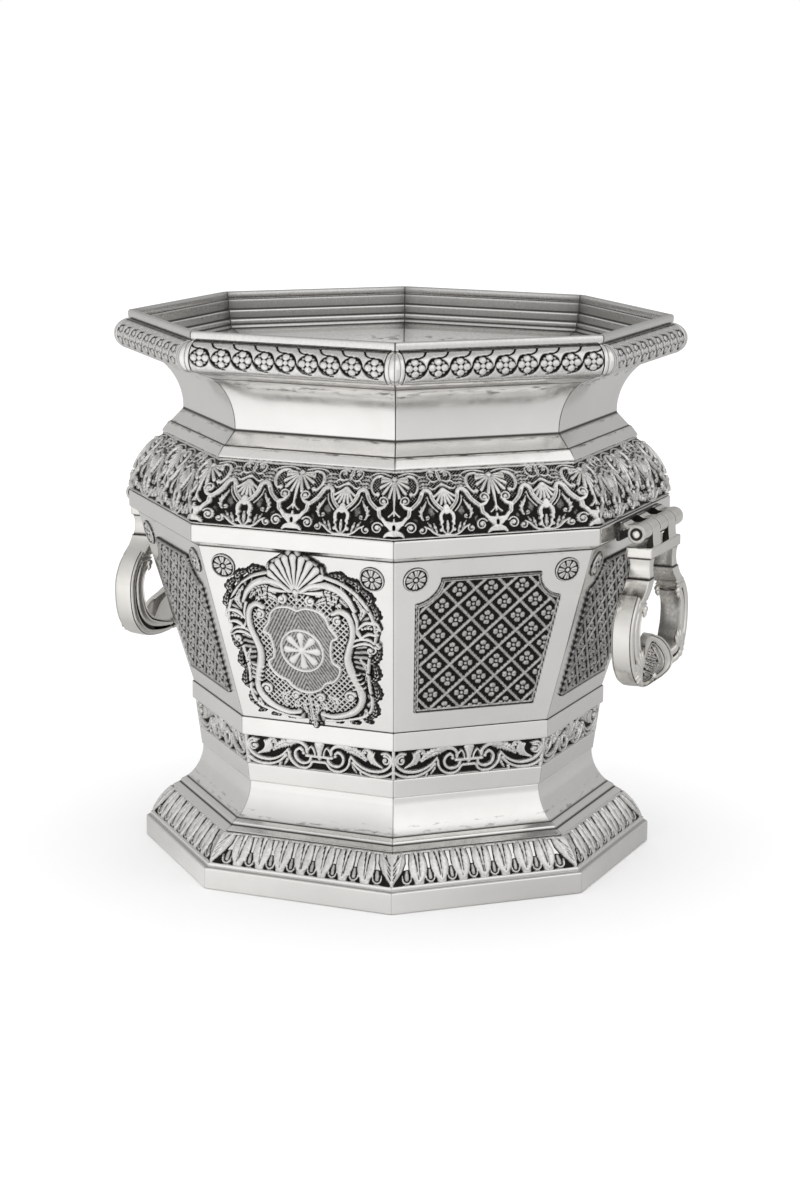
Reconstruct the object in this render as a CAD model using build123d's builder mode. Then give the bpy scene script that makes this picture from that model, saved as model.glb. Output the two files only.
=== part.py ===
from build123d import *
from math import asin, cos, degrees, radians, sin, sqrt, tan
import os

# Octagonal silver champagne bucket: sheet panels mitred at the corners, applied ornament,
# a hollow spreading foot and two hinged drop handles.
# Millimetres, +Z up, origin at the centre of the base, handles on +X and -X.
# "Reach" is the distance from the bucket's axis to a face, measured square to that face.

os.makedirs("parts", exist_ok=True)

# ---------------------------------------------------------------- driving dimensions
HEIGHT = 230.0
HALF_SECTOR = 22.5                     # half the angle that one of the eight faces takes
SHEET = 1.5                            # thickness of the sheet silver

PLINTH_REACH, PLINTH_TOP = 101.3, 9.0
PLINTH_WIDTH = 5.3
LEDGE_REACH, LEDGE_TOP = 99.6, 10.9

LEAF_FOOT = (98.95, LEDGE_TOP)         # the leaf band's face: foot, middle and head of its curve
LEAF_MIDDLE = (96.1, 16.7)
LEAF_HEAD = (91.2, 22.4)
LEAF_RELIEF = 1.4

COVE_FOOT = (84.7, 26.8)
WAIST_REACH, WAIST_Z = 78.6, 41.6
FOOT_FLANGE = 4.0                      # how far the foot's inner flange runs in under the floor

BELT_REACH, BELT_TOP = 79.55, 49.4     # plain belt above the waist
SCROLL_TOP_REACH, SCROLL_TOP = 81.1, 62.0
SCROLL_RELIEF = 1.6
LOWER_BAND_REACH, LOWER_BAND_TOP = 82.3, 69.5

PANEL_FOOT = (81.67, LOWER_BAND_TOP)   # the sloping face between the lower and the upper band
PANEL_HEAD = (103.38, 144.2)
UPPER_BAND_REACH, UPPER_BAND_FOOT, UPPER_BAND_TOP = 106.8, 146.1, 152.9

SHOULDER_FOOT = (106.9, 153.4)         # convex shoulder, upright where it starts
SHOULDER_RADIUS = 29.18
SHOULDER_RISE = 24.8
SHOULDER_RELIEF = 1.5

NECK_REACH, NECK_Z = 85.1, 189.5       # narrowest line of the neck
FLARE_RADIUS = 25.3
FLARE_TOP = 210.3

RIM_BACK = 104.3                       # upright back face behind the rim's half-round border
RIM_CENTRE = (105.6, 220.0)
RIM_RADIUS = 6.5
RIM_CASTING_HALF = 42.0                # half length of a rosette casting, up to the plain collars
LIP_FOOT, LIP_REACH, LIP_WIDTH = 226.5, 106.4, 3.2

PATERA_OFFSET, PATERA_UP, PATERA_RADIUS, PATERA_RELIEF = 32.6, 69.4, 5.3, 1.0
DIAPER_RELIEF = 1.2
DIAPER_FOOT_UP, DIAPER_FOOT_HALF = 9.0, 26.2
DIAPER_NOTCH = 11.1                    # notch radius, struck from the centre of the patera
CARTOUCHE_RIM, CARTOUCHE_SHIELD = 2.6, 4.6

PIN_X, PIN_Z = 115.2, 148.0            # hinge axis
PIN_RADIUS, KNUCKLE_RADIUS = 1.8, 3.8
PIN_RUNNING_GAP, KNUCKLE_SIDE_GAP = 0.06, 0.2
PIN_RECESS_RADIUS, PIN_RECESS_DEPTH = 2.6, 0.6
HINGE_HALF = 25.0
LEAF_PLATE = 1.4
STRAP_THICKNESS = 2.6
BAIL_BACK, BAIL_FRONT = 109.5, 118.5   # the C scrolls run between these two upright planes
BAR_BACK, BAR_FRONT = 109.0, 120.0
BAR_HALF, BAR_FOOT, BAR_TOP = 19.0, 137.0, 141.5
COLLAR_FOOT, COLLAR_TOP = 118.4, 121.2
BOSS_BACK, BOSS_FRONT = 110.5, 120.1
BOSS_Z, BOSS_HALF_WIDTH, BOSS_HALF_HEIGHT = 92.6, 19.5, 11.0

FACES = {"front": -90.0, "front_right": -45.0, "right": 0.0, "back_right": 45.0,
         "back": 90.0, "back_left": 135.0, "left": 180.0, "front_left": -135.0}
CARTOUCHE_FACES = ("front", "back")

# ---------------------------------------------------------------- worked-out geometry
KNUCKLE_LENGTH = 2 * HINGE_HALF / 5
SHOULDER_CENTRE = (SHOULDER_FOOT[0] - SHOULDER_RADIUS, SHOULDER_FOOT[1])
SHOULDER_SWEEP = degrees(asin(SHOULDER_RISE / SHOULDER_RADIUS))
PANEL_SLOPE = sqrt((PANEL_HEAD[0] - PANEL_FOOT[0]) ** 2 + (PANEL_HEAD[1] - PANEL_FOOT[1]) ** 2)
PANEL_OUT = (PANEL_HEAD[0] - PANEL_FOOT[0]) / PANEL_SLOPE
PANEL_RISE = (PANEL_HEAD[1] - PANEL_FOOT[1]) / PANEL_SLOPE


def shoulder_point(angle, depth=0.0):
    """Point on the shoulder's arc, depth below its face."""
    radius = SHOULDER_RADIUS - depth
    return (SHOULDER_CENTRE[0] + radius * cos(radians(angle)),
            SHOULDER_CENTRE[1] + radius * sin(radians(angle)))


def flare_point(z):
    """Point on the neck's hollow curve at height z."""
    rise = z - NECK_Z
    return (NECK_REACH + FLARE_RADIUS - sqrt(FLARE_RADIUS ** 2 - rise ** 2), z)


def face_section(azimuth):
    """Upright plane through the axis and the middle of a face: local x outwards, local y up."""
    turn = radians(azimuth)
    return Plane(origin=(0, 0, 0), x_dir=(cos(turn), sin(turn), 0), z_dir=(sin(turn), -cos(turn), 0))


def panel_plane(azimuth):
    """The sloping panel's own plane: local x along the face, local y up the slope."""
    turn = radians(azimuth)
    reach, z = PANEL_FOOT
    out = (cos(turn), sin(turn))
    return Plane(origin=(reach * out[0], reach * out[1], z),
                 x_dir=(-out[1], out[0], 0),
                 z_dir=(PANEL_RISE * out[0], PANEL_RISE * out[1], -PANEL_OUT))


# ---------------------------------------------------------------- sections
def sheet_section(plane):
    """One sheet panel from the waist to under the lip, folded through every moulding."""
    with BuildSketch(plane) as section:
        with BuildLine():
            lower = Polyline(
                (WAIST_REACH, WAIST_Z),
                (BELT_REACH, BELT_TOP),
                (BELT_REACH - SCROLL_RELIEF, BELT_TOP),
                (SCROLL_TOP_REACH - SCROLL_RELIEF, SCROLL_TOP),
                (LOWER_BAND_REACH, SCROLL_TOP),
                (LOWER_BAND_REACH, LOWER_BAND_TOP),
                PANEL_FOOT,
                PANEL_HEAD,
                (UPPER_BAND_REACH, UPPER_BAND_FOOT),
                (UPPER_BAND_REACH, UPPER_BAND_TOP),
                (SHOULDER_FOOT[0] - SHOULDER_RELIEF, UPPER_BAND_TOP),
                shoulder_point(0, SHOULDER_RELIEF))
            shoulder = ThreePointArc(
                lower @ 1,
                shoulder_point(SHOULDER_SWEEP / 2, SHOULDER_RELIEF),
                shoulder_point(SHOULDER_SWEEP, SHOULDER_RELIEF))
            steps = Polyline(
                shoulder @ 1,
                shoulder_point(SHOULDER_SWEEP),
                (93.5, 179.0),
                (91.0, 182.6),
                (90.1, 182.9),
                (86.2, 187.3),
                (NECK_REACH, 188.6),
                (NECK_REACH, NECK_Z))
            flare = ThreePointArc(
                steps @ 1, flare_point((NECK_Z + FLARE_TOP) / 2), flare_point(FLARE_TOP))
            upper = Polyline(
                flare @ 1,
                (101.5, 212.3),
                (RIM_BACK, 214.2),
                (RIM_BACK, LIP_FOOT))
            lip_end = Line(upper @ 1, (RIM_BACK - SHEET, LIP_FOOT))
            inner_upper = Polyline(
                lip_end @ 1,
                (RIM_BACK - SHEET, 215.2),
                (100.6, 213.7),
                (flare_point(FLARE_TOP)[0] - SHEET, FLARE_TOP + 1.0))
            inner_flare = ThreePointArc(
                inner_upper @ 1,
                (flare_point(201.0)[0] - SHEET - 0.35, 201.5),
                (NECK_REACH - SHEET, NECK_Z))
            inner_shoulder = Polyline(
                inner_flare @ 1,
                (NECK_REACH - SHEET, 188.0),
                (88.4, 182.0),
                shoulder_point(SHOULDER_SWEEP, SHOULDER_RELIEF + SHEET))
            inner_arc = ThreePointArc(
                inner_shoulder @ 1,
                shoulder_point(SHOULDER_SWEEP / 2, SHOULDER_RELIEF + SHEET),
                shoulder_point(0, SHOULDER_RELIEF + SHEET))
            Polyline(
                inner_arc @ 1,
                (SHOULDER_FOOT[0] - SHOULDER_RELIEF - SHEET, 147.2),
                (PANEL_HEAD[0] - SHEET, PANEL_HEAD[1] + 0.4),
                (PANEL_FOOT[0] - SHEET, PANEL_FOOT[1]),
                (WAIST_REACH - SHEET, BELT_TOP),
                (WAIST_REACH - SHEET, WAIST_Z),
                (WAIST_REACH, WAIST_Z))
        make_face()
    return section.sketch


def shoulder_section(plane):
    """The shoulder frieze: a curved band on the shoulder's ground."""
    with BuildSketch(plane) as section:
        with BuildLine():
            ground = ThreePointArc(
                shoulder_point(0, SHOULDER_RELIEF),
                shoulder_point(SHOULDER_SWEEP / 2, SHOULDER_RELIEF),
                shoulder_point(SHOULDER_SWEEP, SHOULDER_RELIEF))
            head = Line(ground @ 1, shoulder_point(SHOULDER_SWEEP))
            face = ThreePointArc(head @ 1, shoulder_point(SHOULDER_SWEEP / 2), shoulder_point(0))
            Line(face @ 1, ground @ 0)
        make_face()
    return section.sketch


def scroll_section(plane):
    """The scroll frieze: a flat strip let in between the belt and the lower band."""
    with BuildSketch(plane) as section:
        with BuildLine():
            Polyline(
                (BELT_REACH - SCROLL_RELIEF, BELT_TOP),
                (BELT_REACH, BELT_TOP),
                (SCROLL_TOP_REACH, SCROLL_TOP),
                (SCROLL_TOP_REACH - SCROLL_RELIEF, SCROLL_TOP),
                close=True)
        make_face()
    return section.sketch


def leaf_section(plane):
    """The leaf band on the foot."""
    with BuildSketch(plane) as section:
        with BuildLine():
            face = ThreePointArc(LEAF_FOOT, LEAF_MIDDLE, LEAF_HEAD)
            head = Line(face @ 1, (LEAF_HEAD[0] - LEAF_RELIEF, LEAF_HEAD[1]))
            ground = ThreePointArc(
                head @ 1,
                (LEAF_MIDDLE[0] - LEAF_RELIEF, LEAF_MIDDLE[1]),
                (LEAF_FOOT[0] - LEAF_RELIEF, LEAF_FOOT[1]))
            Line(ground @ 1, face @ 0)
        make_face()
    return section.sketch


def foot_section(plane):
    """The hollow foot: leaf ground, two small steps, a cove, and the flange under the floor."""
    cove_middle = (80.0, 33.0)
    with BuildSketch(plane) as section:
        with BuildLine():
            ground = ThreePointArc(
                (LEAF_FOOT[0] - LEAF_RELIEF, LEAF_FOOT[1]),
                (LEAF_MIDDLE[0] - LEAF_RELIEF, LEAF_MIDDLE[1]),
                (LEAF_HEAD[0] - LEAF_RELIEF, LEAF_HEAD[1]))
            steps = Polyline(
                ground @ 1, (LEAF_HEAD[0] - 0.4, LEAF_HEAD[1] + 0.3), (87.6, 24.4), (87.0, 25.6), COVE_FOOT)
            cove = ThreePointArc(steps @ 1, cove_middle, (WAIST_REACH - 0.5, WAIST_Z - 1.6))
            flange = Polyline(
                cove @ 1,
                (WAIST_REACH - 0.5, WAIST_Z),
                (WAIST_REACH - FOOT_FLANGE, WAIST_Z),
                (WAIST_REACH - FOOT_FLANGE, WAIST_Z - SHEET),
                (WAIST_REACH - 2.0, WAIST_Z - SHEET - 0.6))
            inner_cove = ThreePointArc(
                flange @ 1,
                (cove_middle[0] - 1.2, cove_middle[1] - 0.9),
                (COVE_FOOT[0] - 0.6, COVE_FOOT[1] - SHEET))
            inner_leaf = Line(inner_cove @ 1, (LEAF_HEAD[0] - LEAF_RELIEF - 1.2, LEAF_HEAD[1] - 0.9))
            inner = ThreePointArc(
                inner_leaf @ 1,
                (LEAF_MIDDLE[0] - LEAF_RELIEF - SHEET, LEAF_MIDDLE[1] - 0.4),
                (LEAF_FOOT[0] - LEAF_RELIEF - SHEET, LEAF_FOOT[1]))
            Line(inner @ 1, ground @ 0)
        make_face()
    return section.sketch


def plinth_section(plane):
    """The plinth and the thin ledge on top of it."""
    with BuildSketch(plane) as section:
        with BuildLine():
            Polyline(
                (PLINTH_REACH - PLINTH_WIDTH, 0),
                (PLINTH_REACH, 0),
                (PLINTH_REACH, PLINTH_TOP),
                (LEDGE_REACH, PLINTH_TOP),
                (LEDGE_REACH, LEDGE_TOP),
                (PLINTH_REACH - PLINTH_WIDTH, LEDGE_TOP),
                close=True)
        make_face()
    return section.sketch


def lip_section(plane):
    """The lip wire, upright, on top of the sheet."""
    with BuildSketch(plane) as section:
        with Locations((LIP_REACH - LIP_WIDTH / 2, (LIP_FOOT + HEIGHT) / 2)):
            Rectangle(LIP_WIDTH, HEIGHT - LIP_FOOT)
    return section.sketch


def rim_section(plane):
    """The rim's border: a round cut flat where it lies against the sheet."""
    with BuildSketch(plane) as section:
        with Locations(RIM_CENTRE):
            Circle(RIM_RADIUS)
        with Locations((RIM_BACK - RIM_RADIUS, RIM_CENTRE[1])):
            Rectangle(2 * RIM_RADIUS, 3 * RIM_RADIUS, mode=Mode.SUBTRACT)
    return section.sketch


# ---------------------------------------------------------------- solids shared by the eight faces
def mitred(section, azimuth):
    """Run a section along its face and cut it at the two corner planes."""
    run = 60.0
    reach = 130.0
    half = reach * tan(radians(HALF_SECTOR))
    with BuildPart() as strip:
        extrude(section, amount=run, both=True)
        with BuildSketch(Plane.XY.rotated((0, 0, azimuth))):
            Polygon((0, 0), (reach, -half), (reach, half), align=None)
        extrude(amount=HEIGHT, mode=Mode.INTERSECT)
    return strip.part


def ring(section_maker):
    """Eight mitred strips joined into one octagonal ring."""
    with BuildPart() as hoop:
        for azimuth in FACES.values():
            add(mitred(section_maker(face_section(azimuth)), azimuth))
    return hoop.part


def collar_arm(azimuth, sign):
    """The plain end of one side's rim, from the rosette casting to the corner."""
    with BuildPart() as arm:
        add(mitred(rim_section(face_section(azimuth)), azimuth))
        with BuildSketch(Plane.XY.rotated((0, 0, azimuth))):
            with Locations((RIM_CENTRE[0], sign * (RIM_CASTING_HALF + 10))):
                Rectangle(4 * RIM_RADIUS, 20)
        extrude(amount=HEIGHT, mode=Mode.INTERSECT)
    return arm.part


def save(piece, name):
    """Label a finished piece and write it."""
    piece.label = name
    export_step(piece, f"parts/{name}.step")


# ---------------------------------------------------------------- pieces on every face
for face, azimuth in FACES.items():
    save(mitred(sheet_section(face_section(azimuth)), azimuth), f"side_panel_{face}")
    save(mitred(shoulder_section(face_section(azimuth)), azimuth), f"shoulder_frieze_{face}")
    save(mitred(scroll_section(face_section(azimuth)), azimuth), f"scroll_frieze_{face}")
    save(mitred(leaf_section(face_section(azimuth)), azimuth), f"leaf_band_{face}")

    with BuildPart() as rim_casting:
        extrude(rim_section(face_section(azimuth)), amount=RIM_CASTING_HALF, both=True)
    save(rim_casting.part, f"rim_casting_{face}")

# ---------------------------------------------------------------- diaper panels
for face, azimuth in FACES.items():
    if face in CARTOUCHE_FACES:
        continue
    notch_side = (PATERA_OFFSET - 1.2, PATERA_UP - sqrt(DIAPER_NOTCH ** 2 - 1.2 ** 2))
    notch_middle = (PATERA_OFFSET - DIAPER_NOTCH * cos(radians(45)),
                    PATERA_UP - DIAPER_NOTCH * sin(radians(45)))
    notch_top = (PATERA_OFFSET - DIAPER_NOTCH, PATERA_UP)
    with BuildPart() as diaper_panel:
        with BuildSketch(panel_plane(azimuth)):
            with BuildLine():
                side = Line((DIAPER_FOOT_HALF, DIAPER_FOOT_UP), notch_side)
                notch = ThreePointArc(side @ 1, notch_middle, notch_top)
                Line(notch @ 1, (0, PATERA_UP))
                Line((0, DIAPER_FOOT_UP), side @ 0)
                mirror(about=Plane.YZ)
            make_face()
        extrude(amount=DIAPER_RELIEF)
    save(diaper_panel.part, f"diaper_panel_{face}")

# ---------------------------------------------------------------- cartouches
for face in CARTOUCHE_FACES:
    with BuildPart() as cartouche:
        with BuildSketch(panel_plane(FACES[face])):
            with BuildLine():
                outline = Polyline(
                    (0, 1.0), (2.5, 1.0), (4.0, 6.0), (24.0, 6.0), (27.5, 12.0), (28.0, 20.0),
                    (31.0, 34.0), (33.6, 42.0), (33.6, 52.0), (31.0, 61.0), (24.0, 67.5),
                    (13.0, 69.5), (11.0, 74.0), (6.0, 77.0), (0, 77.0))
                mirror(about=Plane.YZ)
            make_face()
        extrude(amount=CARTOUCHE_RIM)
        with BuildSketch(panel_plane(FACES[face]).offset(CARTOUCHE_RIM)):
            with Locations((0, 36.5)):
                Ellipse(15.5, 19.5)
        extrude(amount=CARTOUCHE_SHIELD - CARTOUCHE_RIM)
    save(cartouche.part, f"cartouche_{face}")

# ---------------------------------------------------------------- paterae, two on each face
with BuildPart() as paterae:
    for azimuth in FACES.values():
        with BuildSketch(panel_plane(azimuth)):
            with Locations((-PATERA_OFFSET, PATERA_UP), (PATERA_OFFSET, PATERA_UP)):
                Circle(PATERA_RADIUS)
    extrude(amount=PATERA_RELIEF)
save(paterae.part, "paterae")

# ---------------------------------------------------------------- rim collars, one at each corner
with BuildPart() as rim_collars:
    for azimuth in FACES.values():
        add(collar_arm(azimuth, 1))
        add(collar_arm(azimuth + 2 * HALF_SECTOR, -1))
save(rim_collars.part, "rim_collars")

# ---------------------------------------------------------------- rings and floor
save(ring(lip_section), "lip_wire")
save(ring(foot_section), "foot_cove")
save(ring(plinth_section), "plinth_ring")

with BuildPart() as floor_plate:
    with BuildSketch(Plane.XY.offset(WAIST_Z)):
        RegularPolygon(WAIST_REACH - SHEET, 8, major_radius=False, rotation=HALF_SECTOR)
    extrude(amount=SHEET)
save(floor_plate.part, "floor_plate")

# ---------------------------------------------------------------- right handle: hinge leaf
FIXED_KNUCKLES = (-2 * KNUCKLE_LENGTH, 0, 2 * KNUCKLE_LENGTH)
MOVING_KNUCKLES = (-KNUCKLE_LENGTH, KNUCKLE_LENGTH)
PIN_PLANE = Plane.XZ
with BuildPart() as hinge_leaf:
    plate_height = UPPER_BAND_TOP - UPPER_BAND_FOOT - 0.4
    with BuildSketch(Plane.YZ.offset(UPPER_BAND_REACH)):
        with Locations((0, UPPER_BAND_TOP - plate_height / 2 - 0.2)):
            Rectangle(2 * HINGE_HALF, plate_height)
    extrude(amount=LEAF_PLATE)
    for y in FIXED_KNUCKLES:
        with BuildSketch(PIN_PLANE.offset(-y)):
            with Locations((PIN_X, PIN_Z)):
                Circle(KNUCKLE_RADIUS)
            with Locations(((UPPER_BAND_REACH + PIN_X) / 2, PIN_Z + KNUCKLE_RADIUS - STRAP_THICKNESS / 2)):
                Rectangle(PIN_X - UPPER_BAND_REACH, STRAP_THICKNESS)
        extrude(amount=KNUCKLE_LENGTH / 2, both=True)
    with BuildSketch(PIN_PLANE):
        with Locations((PIN_X, PIN_Z)):
            Circle(PIN_RADIUS)
    extrude(amount=HINGE_HALF + 1, both=True, mode=Mode.SUBTRACT)
    for end in (-1, 1):
        with BuildSketch(PIN_PLANE.offset(end * (HINGE_HALF - PIN_RECESS_DEPTH / 2))):
            with Locations((PIN_X, PIN_Z)):
                Circle(PIN_RECESS_RADIUS)
        extrude(amount=PIN_RECESS_DEPTH / 2 + 0.01, both=True, mode=Mode.SUBTRACT)

# ---------------------------------------------------------------- right handle: pin
with BuildPart() as hinge_pin:
    with BuildSketch(PIN_PLANE):
        with Locations((PIN_X, PIN_Z)):
            Circle(PIN_RADIUS)
    extrude(amount=HINGE_HALF - 0.2, both=True)
    chamfer(hinge_pin.edges().filter_by(GeomType.CIRCLE), length=0.3)

# ---------------------------------------------------------------- right handle: bail
with BuildPart() as bail:
    # Both C scrolls and the two upright arms, as one flat casting.
    with BuildSketch(Plane.YZ.offset(BAIL_BACK)):
        with BuildLine():
            arm_top = Polyline(
                (0, BAR_TOP), (BAR_HALF, BAR_TOP), (BAR_HALF, 127.5), (22.5, 124.5), (28.5, 119.8))
            outer_upper = ThreePointArc(arm_top @ 1, (35.0, 114.4), (37.2, 107.0))
            outer_lower = ThreePointArc(outer_upper @ 1, (34.4, 93.8), (25.5, 86.8))
            Polyline(outer_lower @ 1, (10.0, 85.4), (0, 84.5))
            mirror(about=Plane.YZ)
        make_face()
        with BuildLine():
            gap_top = Polyline((0, BAR_FOOT), (11.5, BAR_FOOT), (11.5, 128.5), (14.0, 125.0), (20.5, 119.5))
            gap_side = ThreePointArc(gap_top @ 1, (26.6, 112.0), (25.2, 104.0))
            Polyline(gap_side @ 1, (20.0, 98.0), (0, 98.0))
            mirror(about=Plane.YZ)
        make_face(mode=Mode.SUBTRACT)
    extrude(amount=BAIL_FRONT - BAIL_BACK)
    # Top bar, a little deeper than the scrolls.
    with BuildSketch(Plane.YZ.offset(BAR_BACK)):
        with Locations((0, (BAR_FOOT + BAR_TOP) / 2)):
            Rectangle(2 * BAR_HALF, BAR_TOP - BAR_FOOT)
    extrude(amount=BAR_FRONT - BAR_BACK)
    # Collars where the arms spread into the scrolls.
    with BuildSketch(Plane.YZ.offset(BAIL_BACK - 0.7)):
        with Locations((-24.5, (COLLAR_FOOT + COLLAR_TOP) / 2), (24.5, (COLLAR_FOOT + COLLAR_TOP) / 2)):
            Rectangle(9.6, COLLAR_TOP - COLLAR_FOOT)
    extrude(amount=BAIL_FRONT - BAIL_BACK + 1.4)
    # Oval boss between the scrolls.
    with BuildSketch(Plane.YZ.offset(BOSS_BACK)):
        with Locations((0, BOSS_Z)):
            Ellipse(BOSS_HALF_WIDTH, BOSS_HALF_HEIGHT)
        with Locations((0, 80.0)):
            Rectangle(50.0, 10.0, mode=Mode.SUBTRACT)
    extrude(amount=BOSS_FRONT - BOSS_BACK)
    # Two knuckles, each with a strap down to the top bar.
    for y in MOVING_KNUCKLES:
        with BuildSketch(PIN_PLANE.offset(-y)):
            with Locations((PIN_X, PIN_Z)):
                Circle(KNUCKLE_RADIUS)
            with Locations((PIN_X + KNUCKLE_RADIUS - STRAP_THICKNESS / 2, (BAR_TOP + PIN_Z) / 2)):
                Rectangle(STRAP_THICKNESS, PIN_Z - BAR_TOP + 0.2)
        extrude(amount=KNUCKLE_LENGTH / 2 - KNUCKLE_SIDE_GAP, both=True)
    with BuildSketch(PIN_PLANE):
        with Locations((PIN_X, PIN_Z)):
            Circle(PIN_RADIUS + PIN_RUNNING_GAP)
    extrude(amount=HINGE_HALF, both=True, mode=Mode.SUBTRACT)

save(hinge_leaf.part, "hinge_leaf_right")
save(hinge_pin.part, "hinge_pin_right")
save(bail.part, "bail_right")

# ---------------------------------------------------------------- left handle, the same reversed
for name, right in (("hinge_leaf", hinge_leaf), ("hinge_pin", hinge_pin), ("bail", bail)):
    with BuildPart() as left:
        mirror(right.part, about=Plane.YZ)
    save(left.part, f"{name}_left")
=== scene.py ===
import bmesh
import bpy
import numpy as np
from math import atan2, cos, degrees, hypot, inf, pi, radians, sin, tan
from mathutils import Matrix, Vector


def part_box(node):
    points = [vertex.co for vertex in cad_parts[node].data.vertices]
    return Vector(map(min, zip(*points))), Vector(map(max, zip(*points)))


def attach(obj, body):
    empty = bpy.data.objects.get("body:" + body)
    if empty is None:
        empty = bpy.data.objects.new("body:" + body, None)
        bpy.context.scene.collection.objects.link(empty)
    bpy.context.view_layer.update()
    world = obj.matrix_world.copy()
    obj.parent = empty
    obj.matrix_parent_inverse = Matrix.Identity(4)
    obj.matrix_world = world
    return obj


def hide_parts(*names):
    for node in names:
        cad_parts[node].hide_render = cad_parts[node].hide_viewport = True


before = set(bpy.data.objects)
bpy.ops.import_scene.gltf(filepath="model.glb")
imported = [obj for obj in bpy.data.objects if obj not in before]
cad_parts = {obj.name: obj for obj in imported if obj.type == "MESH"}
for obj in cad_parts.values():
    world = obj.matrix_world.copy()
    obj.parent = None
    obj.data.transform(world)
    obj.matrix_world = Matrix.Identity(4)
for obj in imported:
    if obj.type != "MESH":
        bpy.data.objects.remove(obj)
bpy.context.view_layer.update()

# Octagonal silver champagne bucket: chased friezes, diaper panels, cartouches and drop handles.
# Lengths are millimetres until a mesh is made; stains, camera and floor are in metres. On a flat
# pattern u runs along the face, to the right as seen from outside, and s runs up the surface.
# "Reach" is measured from the bucket's axis, square to a face.

MM = 0.001


def box_mm(node):
    """Lowest and highest corner of a CAD node, in millimetres."""
    low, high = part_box(node)
    return low / MM, high / MM


# ---------------------------------------------------------------- sizes read from the frame
FACES = {"front": -90.0, "front_right": -45.0, "right": 0.0, "back_right": 45.0,
         "back": 90.0, "back_left": 135.0, "left": 180.0, "front_left": -135.0}
CARTOUCHE_FACES = ("front", "back")
MITRE = tan(radians(22.5))             # half width of a face for each unit of reach
_, (PLINTH_REACH, _, LEDGE_TOP) = box_mm("plinth_ring")
_, (LEAF_REACH, _, LEAF_HEAD_Z) = box_mm("leaf_band_right")
(_, _, WAIST_Z), (BAND_REACH, _, _) = box_mm("side_panel_right")
(_, _, SCROLL_FOOT_Z), (SCROLL_REACH, _, SCROLL_HEAD_Z) = box_mm("scroll_frieze_right")
(_, _, SHOULDER_FOOT_Z), (SHOULDER_REACH, _, SHOULDER_HEAD_Z) = box_mm("shoulder_frieze_right")
(_, _, LIP_FOOT), (LIP_REACH, _, HEIGHT) = box_mm("lip_wire")
(_, _, rim_foot), (_, RIM_HALF, rim_head) = box_mm("rim_casting_right")
RIM_Z = (rim_foot + rim_head) / 2

# ---------------------------------------------------------------- sizes of the visible surface
SHEET = 1.5                            # thickness of the sheet silver
SINK = 0.25                            # how far the sheet lies below the ground of an applied band
LEAF_RELIEF, SCROLL_RELIEF, SHOULDER_RELIEF = 1.4, 1.6, 1.5
SHOULDER_RADIUS = 29.18
RIM_RADIUS = 6.5
RIM_CENTRE = (105.6, RIM_Z)
RIM_BACK = 104.3
PLINTH_TOP, PLINTH_WIDTH = 9.0, 5.3
PANEL_FOOT, PANEL_HEAD = (81.67, 69.5), (103.38, 144.2)
SCROLL_FOOT_REACH, LOWER_BAND = 79.55, 82.3
UPPER_BAND_FOOT, UPPER_BAND_TOP = 146.1, 152.9
NECK_REACH, NECK_Z, FLARE_RADIUS, FLARE_TOP = 85.1, 189.5, 25.3, 210.3
PATERA_OFFSET, PATERA_UP, PATERA_RADIUS = 32.6, 69.4, 5.3


# ---------------------------------------------------------------- ornament: height fields in numpy
NOTHING = -9.0                         # lower than any ground, so that it never shows
STRAP_EDGE = 0.22                      # how far a flat strap's edge takes to rise
VOLUTE_CORE = 0.3                      # a volute's innermost reach for each unit of its radius


def catmull_rom(a, b, c, d, t):
    """The curve from b to c at the places t, 0 to 1, between the points a and d."""
    return 0.5 * (2 * b + (c - a) * t + (2 * a - 5 * b + 4 * c - d) * t ** 2
                  + (3 * b - a - 3 * c + d) * t ** 3)


def smooth(points, spans=6):
    """Catmull-Rom curve through the points."""
    p = np.array(points, float)
    if len(p) < 3:
        return p
    ends = np.vstack([2 * p[0] - p[1], p, 2 * p[-1] - p[-2]])
    t = np.linspace(0, 1, spans, endpoint=False)[:, None]
    out = []
    for a, b, c, d in zip(ends, ends[1:], ends[2:], ends[3:]):
        out.append(catmull_rom(a, b, c, d, t))
    return np.vstack(out + [p[-1:]])


def arc_points(u, s, radius, start, end, count=24):
    """Points on a circle from one angle to another, in degrees."""
    angles = np.radians(np.linspace(start, end, count))
    return np.stack([u + radius * np.cos(angles), s + radius * np.sin(angles)], axis=1)


def arc_corners(*arc):
    """The same points as a list of corners, to join to others in an outline."""
    return [tuple(p) for p in arc_points(*arc)]


def spiral_points(u, s, radius, start, turns):
    """A volute's line, winding in from its outer radius; turns below zero wind clockwise."""
    t = np.linspace(0, 1, max(8, int(abs(turns) * 26)))
    angles = np.radians(start) + 2 * pi * turns * t
    reach = radius * (1 - (1 - VOLUTE_CORE) * t)
    return np.stack([u + reach * np.cos(angles), s + reach * np.sin(angles)], axis=1)


def blur(field, radius):
    """Soft average over a square of cells, run twice."""
    r = max(1, int(round(radius)))
    for _ in range(2):
        for axis in (0, 1):
            pad = [(0, 0), (0, 0)]
            pad[axis] = (r + 1, r)
            total = np.cumsum(np.pad(field, pad, mode="edge"), axis=axis)
            high = np.take(total, range(2 * r + 1, total.shape[axis]), axis=axis)
            low = np.take(total, range(0, total.shape[axis] - 2 * r - 1), axis=axis)
            field = (high - low) / (2 * r + 1)
    return field


def ramp(x, low, high):
    """Smooth step from 0 at low to 1 at high."""
    t = np.clip((x - low) / (high - low), 0, 1)
    return t * t * (3 - 2 * t)


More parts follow.
